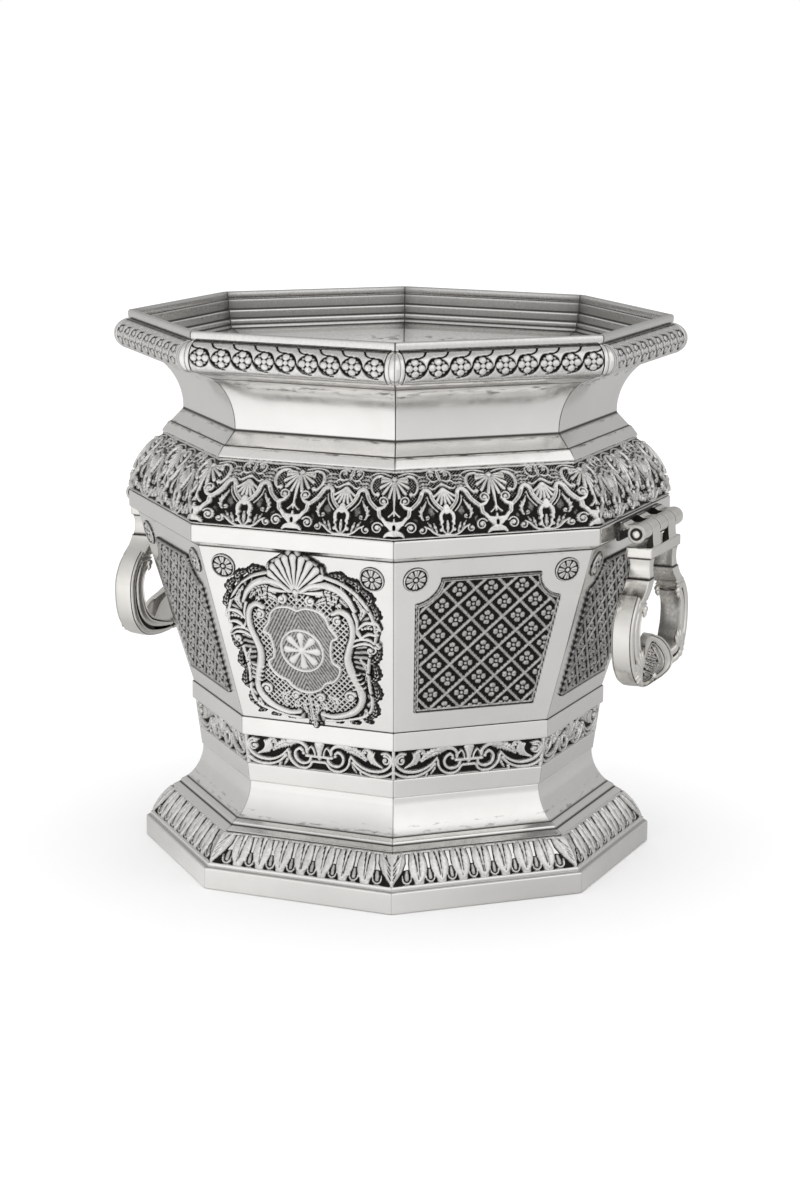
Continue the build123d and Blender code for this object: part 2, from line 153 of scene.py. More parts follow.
class Relief:
    """A height field over a flat patch, on which strokes and bosses are raised."""

    def __init__(self, u0, u1, s0, s1, columns, ground=0.0, heft=1.0):
        self.step, self.heft = (u1 - u0) / columns, heft
        self.u = np.linspace(u0, u1, columns + 1)
        self.s = np.linspace(s0, s1, int(round((s1 - s0) / self.step)) + 1)
        self.height = np.full((len(self.s), len(self.u)), float(ground))

    def window(self, points, reach):
        low, high = points.min(axis=0) - reach, points.max(axis=0) + reach
        cols = slice(*np.searchsorted(self.u, [low[0], high[0]]))
        rows = slice(*np.searchsorted(self.s, [low[1], high[1]]))
        return rows, cols

    def near(self, points, rows, cols):
        """Distance to a line of points, how far along it that is (0 to 1), and the side."""
        u, s = self.u[cols][None, :], self.s[rows][:, None]
        runs = np.hypot(*np.diff(points, axis=0).T)
        so_far = np.concatenate([[0], np.cumsum(runs)])
        shape = (s.shape[0], u.shape[1])
        best, along, side = np.full(shape, np.inf), np.zeros(shape), np.zeros(shape)
        for k, run in enumerate(runs):
            if run < 1e-6:
                continue
            (a0, a1), (d0, d1) = points[k], (points[k + 1] - points[k]) / run
            f = np.clip((u - a0) * d0 + (s - a1) * d1, 0, run)
            gap = np.hypot(u - a0 - f * d0, s - a1 - f * d1)
            closer = gap < best
            best = np.where(closer, gap, best)
            along = np.where(closer, (so_far[k] + f) / so_far[-1], along)
            side = np.where(closer, np.sign((u - a0) * d1 - (s - a1) * d0), side)
        return best, along, side

    def line(self, points, width, height, shape="round", straight=False):
        """Raise a strap, stem or leaf along a curve; width may be a list spread along it."""
        points = np.array(points, float) if straight else smooth(points)
        widths = self.heft * np.atleast_1d(np.array(width, float))
        rows, cols = self.window(points, widths.max() / 2)
        gap, along, side = self.near(points, rows, cols)
        half = np.interp(along, np.linspace(0, 1, len(widths)), widths) / 2 + 1e-6
        x = gap / half
        if shape == "leaf":        # lobed edge, a sunk midrib and slanting veins
            length = np.hypot(*np.diff(points, axis=0).T).sum()
            lobes = max(2, round(length / 1.7))
            x = x / (1 - 0.28 * np.abs(np.sin(pi * lobes * (along - 0.12 * x))))
        dome = np.sqrt(np.clip(1 - x * x, 0, 1))
        if shape in ("flat", "reed"):
            dome = np.clip((1 - x) * half / STRAP_EDGE, 0, 1) ** 0.7
        if shape == "reed":        # a groove along the middle
            dome = dome * (1 - 0.5 * np.exp(-(x / 0.24) ** 2))
        elif shape == "leaf":
            veins = 0.5 + 0.5 * np.cos(2 * pi * lobes * (along - 0.22 * x))
            dome = dome * (0.72 + 0.28 * veins) * (1 - 0.45 * np.exp(-(gap / 0.16) ** 2))
        raised = np.where(x < 1, height * dome, NOTHING)
        patch = self.height[rows, cols]
        np.maximum(patch, raised, out=patch)

    def ball(self, u, s, radius, height, stretch=1.0):
        """Raise a half-round boss; stretch makes it taller in s than it is wide."""
        rows, cols = self.window(np.array([[u, s]]), radius * max(1, stretch))
        x = np.hypot(self.u[cols][None, :] - u, (self.s[rows][:, None] - s) / stretch) / radius
        patch = self.height[rows, cols]
        np.maximum(patch, np.where(x < 1, height * np.sqrt(np.clip(1 - x * x, 0, 1)), NOTHING), out=patch)

    def cut(self, points, width, depth, floor=0.0):
        """Carve a groove along a curve, no lower than the floor."""
        points = smooth(points)
        rows, cols = self.window(points, width / 2)
        gap, _, _ = self.near(points, rows, cols)
        patch = self.height[rows, cols]
        carved = patch - depth * np.sqrt(np.clip(1 - (2 * gap / width) ** 2, 0, 1))
        np.copyto(patch, np.where(2 * gap < width, np.maximum(carved, np.minimum(patch, floor)), patch))

    def volute(self, u, s, radius, start, turns, width, height, shape="flat"):
        """A scroll's end with a ball at its heart."""
        self.line(spiral_points(u, s, radius - width / 2, start, turns), [width, width * 0.75],
                  height, shape, straight=True)
        self.ball(u, s, radius * 0.36, height)

    def leaflets(self, points, count, length, width, height, lean=55, sides=(1, -1)):
        """Small teardrop leaves in pairs along a stem, leaning towards its tip."""
        stem = smooth(points)
        for k in range(count):
            at = (k + 0.5) / count * (len(stem) - 2)
            i = int(at)
            here = stem[i] + (stem[i + 1] - stem[i]) * (at - i)
            heading = atan2(*(stem[i + 1] - stem[i])[::-1])
            reach = length * (1 - 0.45 * k / count)
            for side in sides:
                turn = heading + side * radians(lean)
                tip = here + reach * np.array([cos(turn), sin(turn)])
                bend = (here + tip) / 2 + 0.15 * reach * np.array([cos(heading), sin(heading)])
                self.line([here, bend, tip], [width * 0.5, width, width * 0.35], height)

    def polygon(self, points, soften):
        """Raise everything inside an outline to a height of 1, with a soft edge."""
        outline = smooth(points + [points[0]])
        rows, cols = self.window(outline, soften)
        gap, _, _ = self.near(outline, rows, cols)
        u, s = self.u[cols][None, :], self.s[rows][:, None]
        inside = np.zeros(gap.shape, bool)
        for (a0, a1), (b0, b1) in zip(outline, outline[1:]):
            if a1 != b1:
                inside ^= ((a1 > s) != (b1 > s)) & (u < (b0 - a0) * (s - a1) / (b1 - a1) + a0)
        level = np.clip(np.where(inside, gap, -gap) / soften + 1, 0, 1)
        patch = self.height[rows, cols]
        np.maximum(patch, np.where(level > 0, level, NOTHING), out=patch)


def dark_in(height, step, depth, reach=0.8):
    """How tarnished each point is, from 0 to 1: dark in the ground and in the creases."""
    ground = 1 - ramp(height, 0.10 * depth, 0.55 * depth)
    crease = np.clip((blur(height, reach / step) - height) / (0.30 * depth), 0, 1)
    return np.clip(0.22 + 0.66 * ground + 0.6 * crease, 0, 0.9)


# ---------------------------------------------------------------- ornament: the patterns
SHOULDER_PERIOD, SHOULDER_CELLS = 42.6, 80         # a whole period, and the grid cells in half of it


def shoulder_pattern():
    """Half a period of the shoulder frieze: palmette motif at u 0, shell motif at half a period."""
    half = SHOULDER_PERIOD / 2
    r = Relief(0, half, 0, 29.64, SHOULDER_CELLS, heft=1.15)
    top = 1.5

    def strap(points, width):
        r.line(points, width, top, "flat")

    def by_shell(points):
        return [(half - w, s) for w, s in points]

    def shell_line(points, *stroke):
        r.line(by_shell(points), *stroke)

    # faint domes in the ground
    r.ball(half - 6.3, 10.6, 2.2, 0.42, 1.5)
    r.ball(8.6, 6.4, 1.7, 0.40, 1.5)
    # palmette and its pendant husk
    for k in range(-1, 5):
        turn = radians(-90 + 15 + 21 * k)
        reach = (8.8, 8.6, 8.2, 7.2, 5.8, 5.0)[k + 1]
        at = [(cos(turn) * d, 25.4 + sin(turn) * d) for d in (1.5, reach * 0.6, reach)]
        r.line(at, [0.7, 1.3, 1.5], 1.2)
    r.line([(0, 24.4), (0, 17.6)], [1.0, 1.5], 1.3)
    r.line([(0, 17.2), (0, 13.5), (0, 9.6)], [1.5, 1.0, 0.7], 1.3)
    r.line([(0.1, 11.8), (1.0, 10.4), (2.3, 9.2)], [0.7, 0.8, 1.0], 1.2)
    r.ball(0, 25.8, 1.45, top)
    # C scroll round the palmette
    r.line([(4.2, 25.0), (5.8, 26.8), (8.6, 26.3), (10.3, 23.8), (10.3, 20.6), (8.9, 18.2), (7.4, 17.9)],
           [1.0, 1.3, 1.5, 1.5, 1.4, 1.1], 1.35)
    r.volute(4.9, 24.7, 1.6, 60, -1.1, 0.7, 1.35)
    r.ball(7.2, 18.3, 1.15, 1.4)
    r.line([(1.6, 27.6), (5.0, 28.7), (9.5, 28.3), (12.5, 26.0)], [0.6, 0.9, 0.8, 0.5], 0.9)
    # acanthus spray between the two motifs
    for points in ([(10.8, 23.2), (12.6, 24.6), (15.6, 24.4)], [(10.9, 21.8), (13.0, 22.8), (16.4, 22.4)],
                   [(11.2, 20.6), (13.4, 21.3), (15.6, 20.7)],
                   [(10.6, 24.6), (12.2, 26.4), (15.4, 26.6)]):
        r.line(points, [0.8, 1.3, 0.7], 1.05, "leaf")
    # the strap: up from the cross boss, over the arch and down into the shell's cradle
    r.ball(0, 4.9, 2.9, 1.5)
    r.line([(0, 6.6), (0, 8.3)], [1.8, 0.8], 1.35)
    strap([(0, 5.9), (3.2, 6.3)], [2.4, 2.0])
    strap([(0, 2.7), (2.6, 2.2), (4.0, 1.2)], [2.6, 2.0, 1.0])
    strap([(1.4, 5.0), (3.3, 6.4), (4.9, 8.2)], [2.2, 1.7, 1.5])
    r.volute(6.8, 4.3, 2.8, 150, -1.4, 0.85, 1.45)
    r.line([(4.6, 8.0), (6.0, 9.2), (6.4, 11.4), (8.2, 12.9), (10.4, 15.2), (11.9, 18.2)],
           [1.5, 1.6, 1.6, 1.6, 1.7, 1.9], top, "reed")
    strap([(6.5, 12.0), (4.6, 12.7), (3.4, 14.0)], [1.6, 1.4, 1.2])
    r.volute(4.7, 15.2, 2.5, 200, -1.3, 0.85, 1.45)
    strap([(11.9, 18.2), (12.9, 19.4), (14.6, 19.4), (15.6, 18.2)], [1.7, 1.7, 1.7, 1.7])
    r.line([(15.6, 18.2), (16.2, 15.6), (17.6, 13.2), (19.6, 11.2)], [1.7, 1.5, 1.5, 1.6], top, "reed")
    r.line([(14.0, 16.8), (14.6, 14.2), (16.2, 11.9), (17.7, 10.4)], [0.6, 0.7, 0.7, 0.6], 0.75)
    # ring under the shell
    r.line(arc_points(half, 7.9, 2.75, 90, 215), [1.5, 1.5, 1.4], top, "flat", straight=True)
    shell_line([(2.4, 6.4), (2.7, 5.2)], [1.4, 1.1], top, "flat")
    shell_line([(0, 10.9), (0, 12.0)], [3.2, 2.4], top, "flat")
    # scallop shell under its canopy
    for end in ((0, 12.9), (1.9, 13.5), (3.3, 14.9), (4.3, 16.7)):
        middle = (end[0] * 0.5, (end[1] + 20.4) / 2 - 0.2)
        shell_line([(end[0] * 0.12, 20.2), middle, end], [0.5, 1.1, 1.35], 1.25)
    shell_line([(0, 22.2), (1.7, 21.2), (3.2, 20.2), (4.6, 19.9), (5.4, 20.6)],
               [1.3, 0.9, 0.9, 0.8, 0.9], 1.4)
    r.ball(half, 22.0, 0.9, 1.4)
    # husk and curls above the canopy
    shell_line([(0, 28.9), (0, 26.0), (0, 23.6)], [2.0, 2.6, 0.6], 1.1, "leaf")
    r.volute(half - 2.9, 27.2, 1.4, 90, 1.1, 0.7, 1.2)
    shell_line([(1.6, 28.6), (3.2, 29.0), (5.0, 28.0), (5.0, 25.6), (4.2, 24.4)], [0.8, 0.9, 0.6], 1.15)
    shell_line([(1.0, 24.2), (2.6, 23.6), (4.4, 23.9), (5.6, 22.6)], [0.6, 0.9, 0.6], 1.0)
    # side sprigs
    sprig = by_shell([(7.8, 15.3), (8.9, 13.0), (10.3, 10.6), (10.2, 8.4), (9.6, 7.3)])
    r.line(sprig, [0.4, 1.2, 1.9, 1.3, 0.9], 1.25, "leaf")
    r.leaflets(by_shell([(9.3, 12.2), (10.4, 10.2), (10.2, 7.8)]), 3, 1.5, 0.7, 1.1, lean=-120,
               sides=(1,))
    r.volute(half - 8.1, 8.2, 1.15, 250, 1.0, 0.6, 1.25)
    # base scroll with its tuft
    shell_line([(0, 0.9), (2.8, 0.8), (5.2, 1.7), (7.4, 3.6), (9.2, 4.6)], [1.0, 1.0, 1.1, 1.0, 0.8],
               1.35)
    r.volute(half - 10.1, 3.2, 2.0, 60, -1.1, 0.7, 1.35)
    shell_line([(0, 1.2), (0, 3.4), (0, 6.4)], [0.9, 1.7, 1.2], 1.3, "leaf")
    shell_line([(0.8, 1.4), (2.1, 2.9), (2.2, 4.6)], [0.7, 1.2, 0.8], 1.15)
    r.volute(half - 2.7, 2.8, 1.2, 0, 1.0, 0.6, 1.2)
    shell_line([(4.4, 2.0), (5.0, 3.8), (5.6, 5.6)], [0.7, 1.4, 0.7], 1.1, "leaf")
    shell_line([(6.0, 3.0), (7.0, 4.8), (8.0, 6.2)], [0.6, 1.1, 0.6], 1.0, "leaf")
    r.cut([(0, 5.3), (0, 4.5)], 1.3, 1.5)
    # matted ground above the spring of the arches
    u, s = np.meshgrid(r.u, r.s)
    a, b = (u + s) / 1.42, (u - s) / 1.42
    grains = np.clip(1.1 - 3.6 * ((a - np.round(a)) ** 2 + (b - np.round(b)) ** 2), 0, 1)
    r.height = np.maximum(r.height, 0.55 * grains * ramp(s, 8.0, 18.0))
    # frame lines at foot and head
    r.line([(0, 0.1), (half, 0.1)], 0.9, 1.1, "flat")
    r.line([(0, 29.45), (half, 29.45)], 0.7, 1.2, "flat")
    return r


def scroll_pattern():
    """Half of the scroll frieze, from the middle of the face to the corner."""
    half, head, top = 33.5, 12.7, 1.6
    r = Relief(0, half, 0, head, 134, heft=1.38)

    def strap(points, width):
        r.line(points, width, top, "flat")

    # middle finial, arches and strap bars
    r.line([(0, 5.4), (0, 8.0), (0, 11.2)], [1.7, 2.1, 3.7], top)
    r.ball(0, 9.9, 2.0, top, 0.9)
    r.line([(1.9, 6.6), (2.3, 8.4), (3.5, 10.1), (4.7, 8.9), (5.4, 7.0)], 0.85, 1.4)
    strap([(0, 6.0), (5.9, 6.1)], [1.0, 0.9])
    strap([(0, 3.75), (2.9, 3.75), (4.6, 1.6), (6.8, 0.6), (9.4, 0.8), (11.9, 2.3), (13.3, 4.4),
           (13.8, 6.8)], 0.95)
    strap([(3.8, 6.1), (4.2, 4.2), (5.8, 3.0), (8.2, 2.8), (10.1, 4.0), (10.9, 6.0), (10.3, 7.9),
           (8.7, 9.0), (7.4, 8.2)], 1.05)
    r.ball(7.2, 7.0, 1.0, top)
    # acanthus arm springing over the volute to the corner
    strap([(5.4, 7.6), (5.8, 9.8), (7.6, 11.4), (10.4, 12.0), (13.6, 11.6)], [1.0, 1.2, 1.4, 1.6])
    r.line([(10.5, 11.3), (13.6, 10.9), (16.8, 9.9), (19.3, 8.3), (20.9, 6.8)],
           [2.0, 3.6, 3.8, 3.0, 1.2], 1.5, "leaf")
    r.leaflets([(11.5, 11.6), (15.5, 10.6), (19.0, 8.8)], 6, 2.4, 1.0, 1.25, lean=60)
    # two long reeds that dip and rise to the corner volute
    strap([(14.2, 7.8), (16.6, 5.4), (19.8, 3.5), (23.6, 2.6), (27.8, 3.0), (30.8, 4.6), (32.3, 6.8),
           (32.3, 9.2), (30.6, 10.9), (28.2, 10.6)], [0.9, 1.0, 1.1, 1.1, 1.0, 0.9])
    strap([(15.0, 5.3), (18.0, 2.6), (21.6, 1.0), (25.8, 0.5), (29.8, 1.2), (32.8, 2.9)], 1.0)
    r.volute(29.9, 7.8, 2.5, 110, -1.15, 0.9, 1.5)
    # fronds behind the corner volute
    for k in range(5):
        r.line([(28.4 - 1.2 * k, 4.6 + 0.3 * k), (25.8 - 0.9 * k, 6.0 + 0.6 * k),
                (24.4 - 0.5 * k, 8.4 + 0.5 * k), (25.0 - 0.9 * k, 10.6 + 0.2 * k)],
               [0.9, 1.3, 1.2, 0.6], 1.35 - 0.06 * k)
    r.line([(21.8, 7.2), (20.2, 8.6), (20.0, 10.6), (21.4, 11.7), (23.4, 11.2)], [0.8, 1.3, 1.3, 0.8],
           1.35, "leaf")
    r.ball(20.9, 10.2, 0.75, 1.3)
    # small leaves below
    r.line([(14.5, 5.0), (15.0, 3.2), (16.4, 0.9)], [0.7, 1.3, 0.7], 1.3, "leaf")
    r.line([(18.4, 2.4), (18.2, 1.3), (18.6, 0.5)], [0.6, 1.0, 0.9], 1.3)
    # frame lines and the corner post
    r.line([(0, 0), (half, 0)], 0.5, 1.2, "flat")
    r.line([(0, head), (half, head)], 0.6, 1.4, "flat")
    r.line([(half, 0), (half, head)], 1.3, 1.5, "flat")
    return r


def leaf_pattern():
    """Half of the leaf band: upright leaves on a pitch, and half of the corner leaf."""
    pitch, width = 9.4, 39.5
    r = Relief(0, width, 0, 13.1, 132, heft=1.12)

    def leaf(centre, half):
        r.line([(centre, 12.6), (centre, 9.6), (centre, 5.5), (centre, 1.0)],
               [half * 1.9, half * 2, half * 1.85, half * 1.1], 1.05, straight=True)
        for side in (-half, half):     # full rounded halves beside the midrib
            r.line([(centre + side * 0.48, 11.7), (centre + side * 0.56, 8.4),
                    (centre + side * 0.50, 5.0), (centre + side * 0.3, 2.6), (centre, 0.9)],
                   [half * 0.68, half * 0.95, half * 0.95, half * 0.78, half * 0.45], 1.35)
            r.cut([(centre + side * 0.34, 12.9), (centre + side * 0.14, 7.5), (centre, 1.8)], 0.55, 1.0,
                  0.4)
        r.line([(centre, 13.0), (centre, 8.0), (centre, 1.0)], [half * 0.5, half * 0.22, 0.3], 1.4)
        r.ball(centre, 1.0, 0.75, 1.3)

    for k in range(4):
        leaf(k * pitch, 3.75)
    for k in range(4):                 # a tongue between each pair of leaves
        centre = (k + 0.5) * pitch + (0.25 if k == 3 else 0)
        r.line([(centre, 5.4), (centre, 3.6), (centre, 2.2)], [1.4, 2.2, 2.0], 0.55)
        r.line([(centre - 1.9, 4.0), (centre - 1.5, 1.6), (centre, 0.7), (centre + 1.5, 1.6),
                (centre + 1.9, 4.0)], [0.3, 0.6, 0.75, 0.6, 0.3], 1.0)
    # corner leaf, wider, with slanting veins
    r.line([(width, 12.8), (width, 8.4), (width, 4.6), (width, 0.8)], [11.4, 11.0, 7.6, 1.8], 1.15,
           straight=True)
    for k in range(4):
        foot = 1.6 + 1.7 * k
        r.line([(width - 0.4, foot), (width - 2.4 - 0.2 * k, foot + 3.4),
                (width - 3.6 - 0.35 * k, foot + 6.4)], [0.5, 1.1, 0.8], 1.35)
        r.cut([(width - 0.5, foot + 0.8), (width - 2.0, foot + 3.4), (width - 2.9, foot + 6.6)], 0.4,
              0.8, 0.3)
    r.line([(width, 13), (width, 0.8)], [2.4, 1.0], 1.4)
    # dark slots at the head, and the frame lines
    for k in range(4):
        centre = (k + 0.5) * pitch
        r.cut([(centre, 12.6), (centre, 7.0)], 1.1, 1.6)
    r.line([(0, 13.0), (width, 13.0)], 0.7, 1.0, "flat")
    r.line([(0, 0.0), (width, 0.0)], 0.5, 1.0, "flat")
    return r


RIM_LEVEL = 0.9                        # the plain ground between the rosettes


def rim_pattern():
    """One rosette casting, unrolled round its half-round section; s is 0 at the outermost line."""
    half, pitch = RIM_HALF, 9.35
    r = Relief(-half, half, -RIM_RADIUS * 1.75, RIM_RADIUS * 1.75, 336, RIM_LEVEL)
    rosettes = [pitch * k for k in range(-4, 5)]
    flower = Relief(-4.6, 4.6, -4.6, 4.6, int(round(9.2 / r.step)))
    for k in range(4):
        turn = radians(90 * k)
        flower.ball(2.55 * cos(turn), 2.55 * sin(turn), 1.75, 1.05)
        turn += radians(45)
        flower.ball(3.0 * cos(turn), 3.0 * sin(turn), 0.85, 0.6)
    flower.ball(0, 0, 1.15, 1.2)
    spread = np.hypot(flower.u[None, :], flower.s[:, None])
    for u in rosettes:
        j, i = np.searchsorted(r.u, u + flower.u[0]), np.searchsorted(r.s, 0.3 + flower.s[0])
        rows = slice(i, i + len(flower.s))
        cols = slice(max(j, 0), min(j + len(flower.u), len(r.u)))
        part = slice(cols.start - j, cols.start - j + cols.stop - cols.start)
        sunk = ramp(spread[:, part], 3.9, 4.5) * RIM_LEVEL
        patch = r.height[rows, cols]
        np.copyto(patch, np.maximum(np.minimum(patch, sunk), flower.height[:, part]))
    for u in rosettes:                 # the S line that wraps each rosette
        r.cut([(u - 5.9, 9.0), (u - 4.3, 6.2), (u - 2.4, 5.0), (u, 4.75), (u + 2.4, 4.3), (u + 4.1, 2.2),
               (u + 5.0, -0.6), (u + 6.6, -3.2), (u + 8.8, -4.2), (u + 10.6, -4.3)], 0.8, 1.0, -0.1)
    r.cut([(-half, -7.6), (half, -7.6)], 0.5, 0.5)
    for end in (-half, half):
        r.cut([(end, -12), (end, 12)], 0.7, 0.9)
    return r


def patera_pattern():
    """A small round boss: eight split petals in a dished disc."""
    r = Relief(-5.8, 5.8, -5.8, 5.8, 46)
    u, s = r.u[None, :], r.s[:, None]
    radius, turn = np.hypot(u, s), np.arctan2(s, u)
    edge = np.clip((PATERA_RADIUS - radius) / 0.35, 0, 1)
    dish = np.where(radius < 4.7, 0.3, edge)
    petals = np.abs(np.cos(4 * turn)) ** 0.6 * np.clip((4.5 - radius) / 0.8, 0, 1) ** 0.5
    split = 1 - 0.4 * np.exp(-((np.mod(turn + pi / 8, pi / 4) - pi / 8) * radius / 0.22) ** 2)
    r.height = np.maximum(dish, 0.95 * petals * split * (radius < 4.6) * ramp(radius, 0.9, 1.6))
    r.height = np.where(radius > PATERA_RADIUS + 0.02, -0.5, r.height)
    r.height = np.where(radius > PATERA_RADIUS - 0.3, (PATERA_RADIUS + 0.1 - radius) / 0.4, r.height)
    r.ball(0, 0, 0.95, 1.1)
    return r


DIAPER_PITCH, DIAPER_GROUND = 13.45, -0.6


def diaper_pattern():
    """A lattice of rope ridges with a four-petalled flower in each cell, in a notched frame."""
    half_foot, foot, head, middle, notch, notch_inset = 26.2, 9.0, 69.4, 57.25, 11.1, 1.2
    r = Relief(-31.5, 31.5, foot - 0.6, head + 0.6, 216, DIAPER_GROUND)
    u, s = np.meshgrid(r.u, r.s)
    side = PATERA_OFFSET - notch_inset
    notch_foot = PATERA_UP - (notch ** 2 - notch_inset ** 2) ** 0.5
    slope = (side - half_foot) / (notch_foot - foot)
    edge = (half_foot + (s - foot) * slope - np.abs(u)) / hypot(1, slope)
    edge = np.minimum(edge, np.minimum(s - foot, head - s))
    edge = np.minimum(edge, np.hypot(np.abs(u) - PATERA_OFFSET, s - PATERA_UP) - notch)
    # lattice: distance to the two families of diagonals
    k = 1 / DIAPER_PITCH
    a = u * k + (s - middle) * k
    b = u * k - (s - middle) * k
    across_a, across_b = np.abs(a - np.round(a)), np.abs(b - np.round(b))
    to_mm = DIAPER_PITCH / 2 ** 0.5
    gap = np.minimum(across_a, across_b) * to_mm
    along = np.where(across_a < across_b, b, a) * to_mm
    rope = 0.74 + 0.13 * np.sin(2 * pi * along / 1.05)
    ridge = 0.95 * np.sqrt(np.clip(1 - (gap / rope) ** 2, 0, 1))
    crossing = np.hypot(a - np.round(a), b - np.round(b)) * to_mm
    bead = 1.15 * np.sqrt(np.clip(1 - (crossing / 0.95) ** 2, 0, 1))
    # flower in the middle of each cell
    ca, cb = a - np.floor(a) - 0.5, b - np.floor(b) - 0.5
    fu, fs = (ca + cb) * DIAPER_PITCH / 2, (ca - cb) * DIAPER_PITCH / 2
    flower = np.zeros_like(u)
    for du, ds in ((1, 0), (-1, 0), (0, 1), (0, -1)):
        long_way = np.where(du != 0, fu * du, fs * ds)
        wide_way = np.where(du != 0, fs, fu)
        x = np.hypot((long_way - 2.05) / 1.2, wide_way / 1.45)
        petal = np.sqrt(np.clip(1 - x * x, 0, 1)) * (1 - 0.35 * np.exp(-(wide_way / 0.25) ** 2))
        flower = np.maximum(flower, petal)
    heart = np.hypot(fu, fs)
    flower = np.maximum(flower, 1.1 * np.sqrt(np.clip(1 - (heart / 0.75) ** 2, 0, 1)))
    field = np.maximum(np.maximum(ridge, bead), flower) * ramp(edge, 1.5, 1.8)
    frame_line = np.clip(1 - np.abs(edge - 1.15) / 0.45, 0, 1) ** 0.5
    border = 1.1 * np.clip(1 - np.abs(edge - 0.25) / 0.30, 0, 1) ** 0.5
    field = np.maximum(field, np.maximum(frame_line, border))
    r.height = np.where(edge > 0.2, field + 0.2, np.maximum(DIAPER_GROUND, 1.0 + (edge - 0.2) * 3.5))
    return r


# The cartouche's right half. Leaves are (path, widths); scrolls are (path, widths, height above the
# ground, shape); volutes are (u, s, radius, start, turns, width, height).
CARTOUCHE_HALF = 36
CARTOUCHE_EDGE = [(6, 4), (15, 5), (24, 8), (27.0, 14), (26.6, 24), (28.0, 34), (31.0, 41), (32.4, 47),
                  (30.6, 55), (26.0, 62), (20.0, 66.6), (13.0, 69.0)]
CARTOUCHE_LEAVES = [
    ([(24.5, 6.0), (27.4, 9.5), (27.0, 14.5)], [1.6, 4.2, 1.4]),
    ([(25.6, 13.5), (29.4, 17.5), (28.4, 23.4)], [1.6, 4.4, 1.4]),
    ([(26.2, 22.0), (30.0, 26.6), (29.2, 32.4)], [1.6, 4.4, 1.4]),
    ([(26.4, 31.0), (31.0, 34.6), (32.8, 38.6)], [1.6, 4.2, 1.6]),
    ([(29.0, 49.0), (33.0, 53.0), (31.6, 58.4)], [1.8, 4.4, 1.6]),
    ([(27.6, 56.0), (31.0, 60.4), (27.6, 64.6)], [1.8, 4.6, 1.6]),
    ([(24.6, 60.6), (26.4, 66.0), (21.6, 68.6)], [1.8, 4.4, 1.6]),
    ([(20.0, 64.4), (19.6, 69.4), (14.6, 70.0)], [1.8, 4.0, 1.4]),
    ([(24.0, 10.5), (22.6, 5.6), (25.4, 4.0)], [1.2, 3.2, 1.2]),
    ([(17.0, 8.0), (16.6, 4.0), (19.6, 3.2)], [1.2, 3.0, 1.2]),
    ([(9.6, 8.4), (9.0, 3.8), (12.0, 2.8)], [1.2, 3.0, 1.2]),
    ([(24.4, 33.6), (26.6, 29.0), (25.2, 23.6)], [1.2, 3.0, 1.0]),
    ([(25.6, 60.0), (27.6, 55.6), (25.8, 51.4)], [1.4, 3.4, 1.2])]
CARTOUCHE_SCROLLS = [
    ([(2.6, 62.8), (7.0, 65.4), (12.6, 66.0), (18.0, 64.0), (22.0, 60.2), (24.4, 55.6)],
     [2.0, 2.6, 2.8, 2.8, 2.4, 1.6], 2.6, "round"),
    ([(9.2, 61.4), (13.6, 63.0), (18.4, 61.2), (21.4, 57.2)], [2.4, 4.8, 4.4, 1.4], 2.0, "leaf"),
    ([(8.2, 57.8), (12.4, 59.4), (16.6, 58.2), (19.4, 55.2)], [2.0, 4.2, 3.6, 1.2], 1.8, "leaf"),
    ([(23.6, 54.4), (24.6, 50.6), (24.4, 46.6), (26.0, 43.4)], [1.6, 1.8, 1.8, 1.4], 1.9, "round"),
    ([(24.6, 47.4), (28.4, 50.4), (32.6, 50.2), (34.0, 47.4)], [1.3, 1.6, 1.6, 1.2], 1.8, "round"),
    ([(25.2, 43.2), (29.2, 45.6), (32.8, 45.2)], [1.3, 1.6, 1.2], 1.8, "round"),
    ([(20.8, 40.2), (24.4, 42.0), (29.2, 42.2), (32.4, 39.8)], [2.0, 2.8, 2.6, 1.6], 2.1, "reed"),
    ([(15.4, 54.2), (18.4, 55.2), (21.6, 53.0), (22.9, 48.6), (22.4, 43.8), (20.6, 38.8), (19.3, 34.2),
      (19.8, 29.4),
      (21.4, 24.4), (22.8, 19.6), (22.6, 14.6), (19.8, 10.4), (15.2, 7.8), (9.6, 6.8), (5.0, 7.6)],
     [2.0, 2.4, 2.6, 2.7, 2.7, 2.8, 3.2, 3.4, 3.0, 3.0, 2.8, 2.8, 2.6, 2.2, 1.8], 2.7, "round"),
    ([(8.8, 16.0), (11.4, 13.6), (10.8, 10.0)], [1.6, 3.6, 1.4], 1.8, "leaf"),
    ([(4.8, 13.4), (6.4, 10.4), (5.4, 7.0)], [1.4, 3.4, 1.4], 1.8, "leaf"),
    ([(2.2, 12.6), (2.8, 9.6), (1.6, 6.6)], [1.2, 2.6, 1.2], 1.8, "leaf")]
CARTOUCHE_VOLUTES = [(6.3, 59.0, 2.7, 120, 1.2, 1.5, 2.3), (17.0, 51.0, 2.6, 70, 1.2, 1.4, 2.2),
                     (18.4, 16.8, 3.2, 20, 1.25, 1.6, 2.3), (5.6, 15.4, 2.5, 150, -1.2, 1.4, 2.2),
                     (29.4, 38.4, 2.6, 40, -1.2, 1.3, 2.0), (32.4, 47.4, 1.5, 90, -1.0, 1.0, 1.9)]
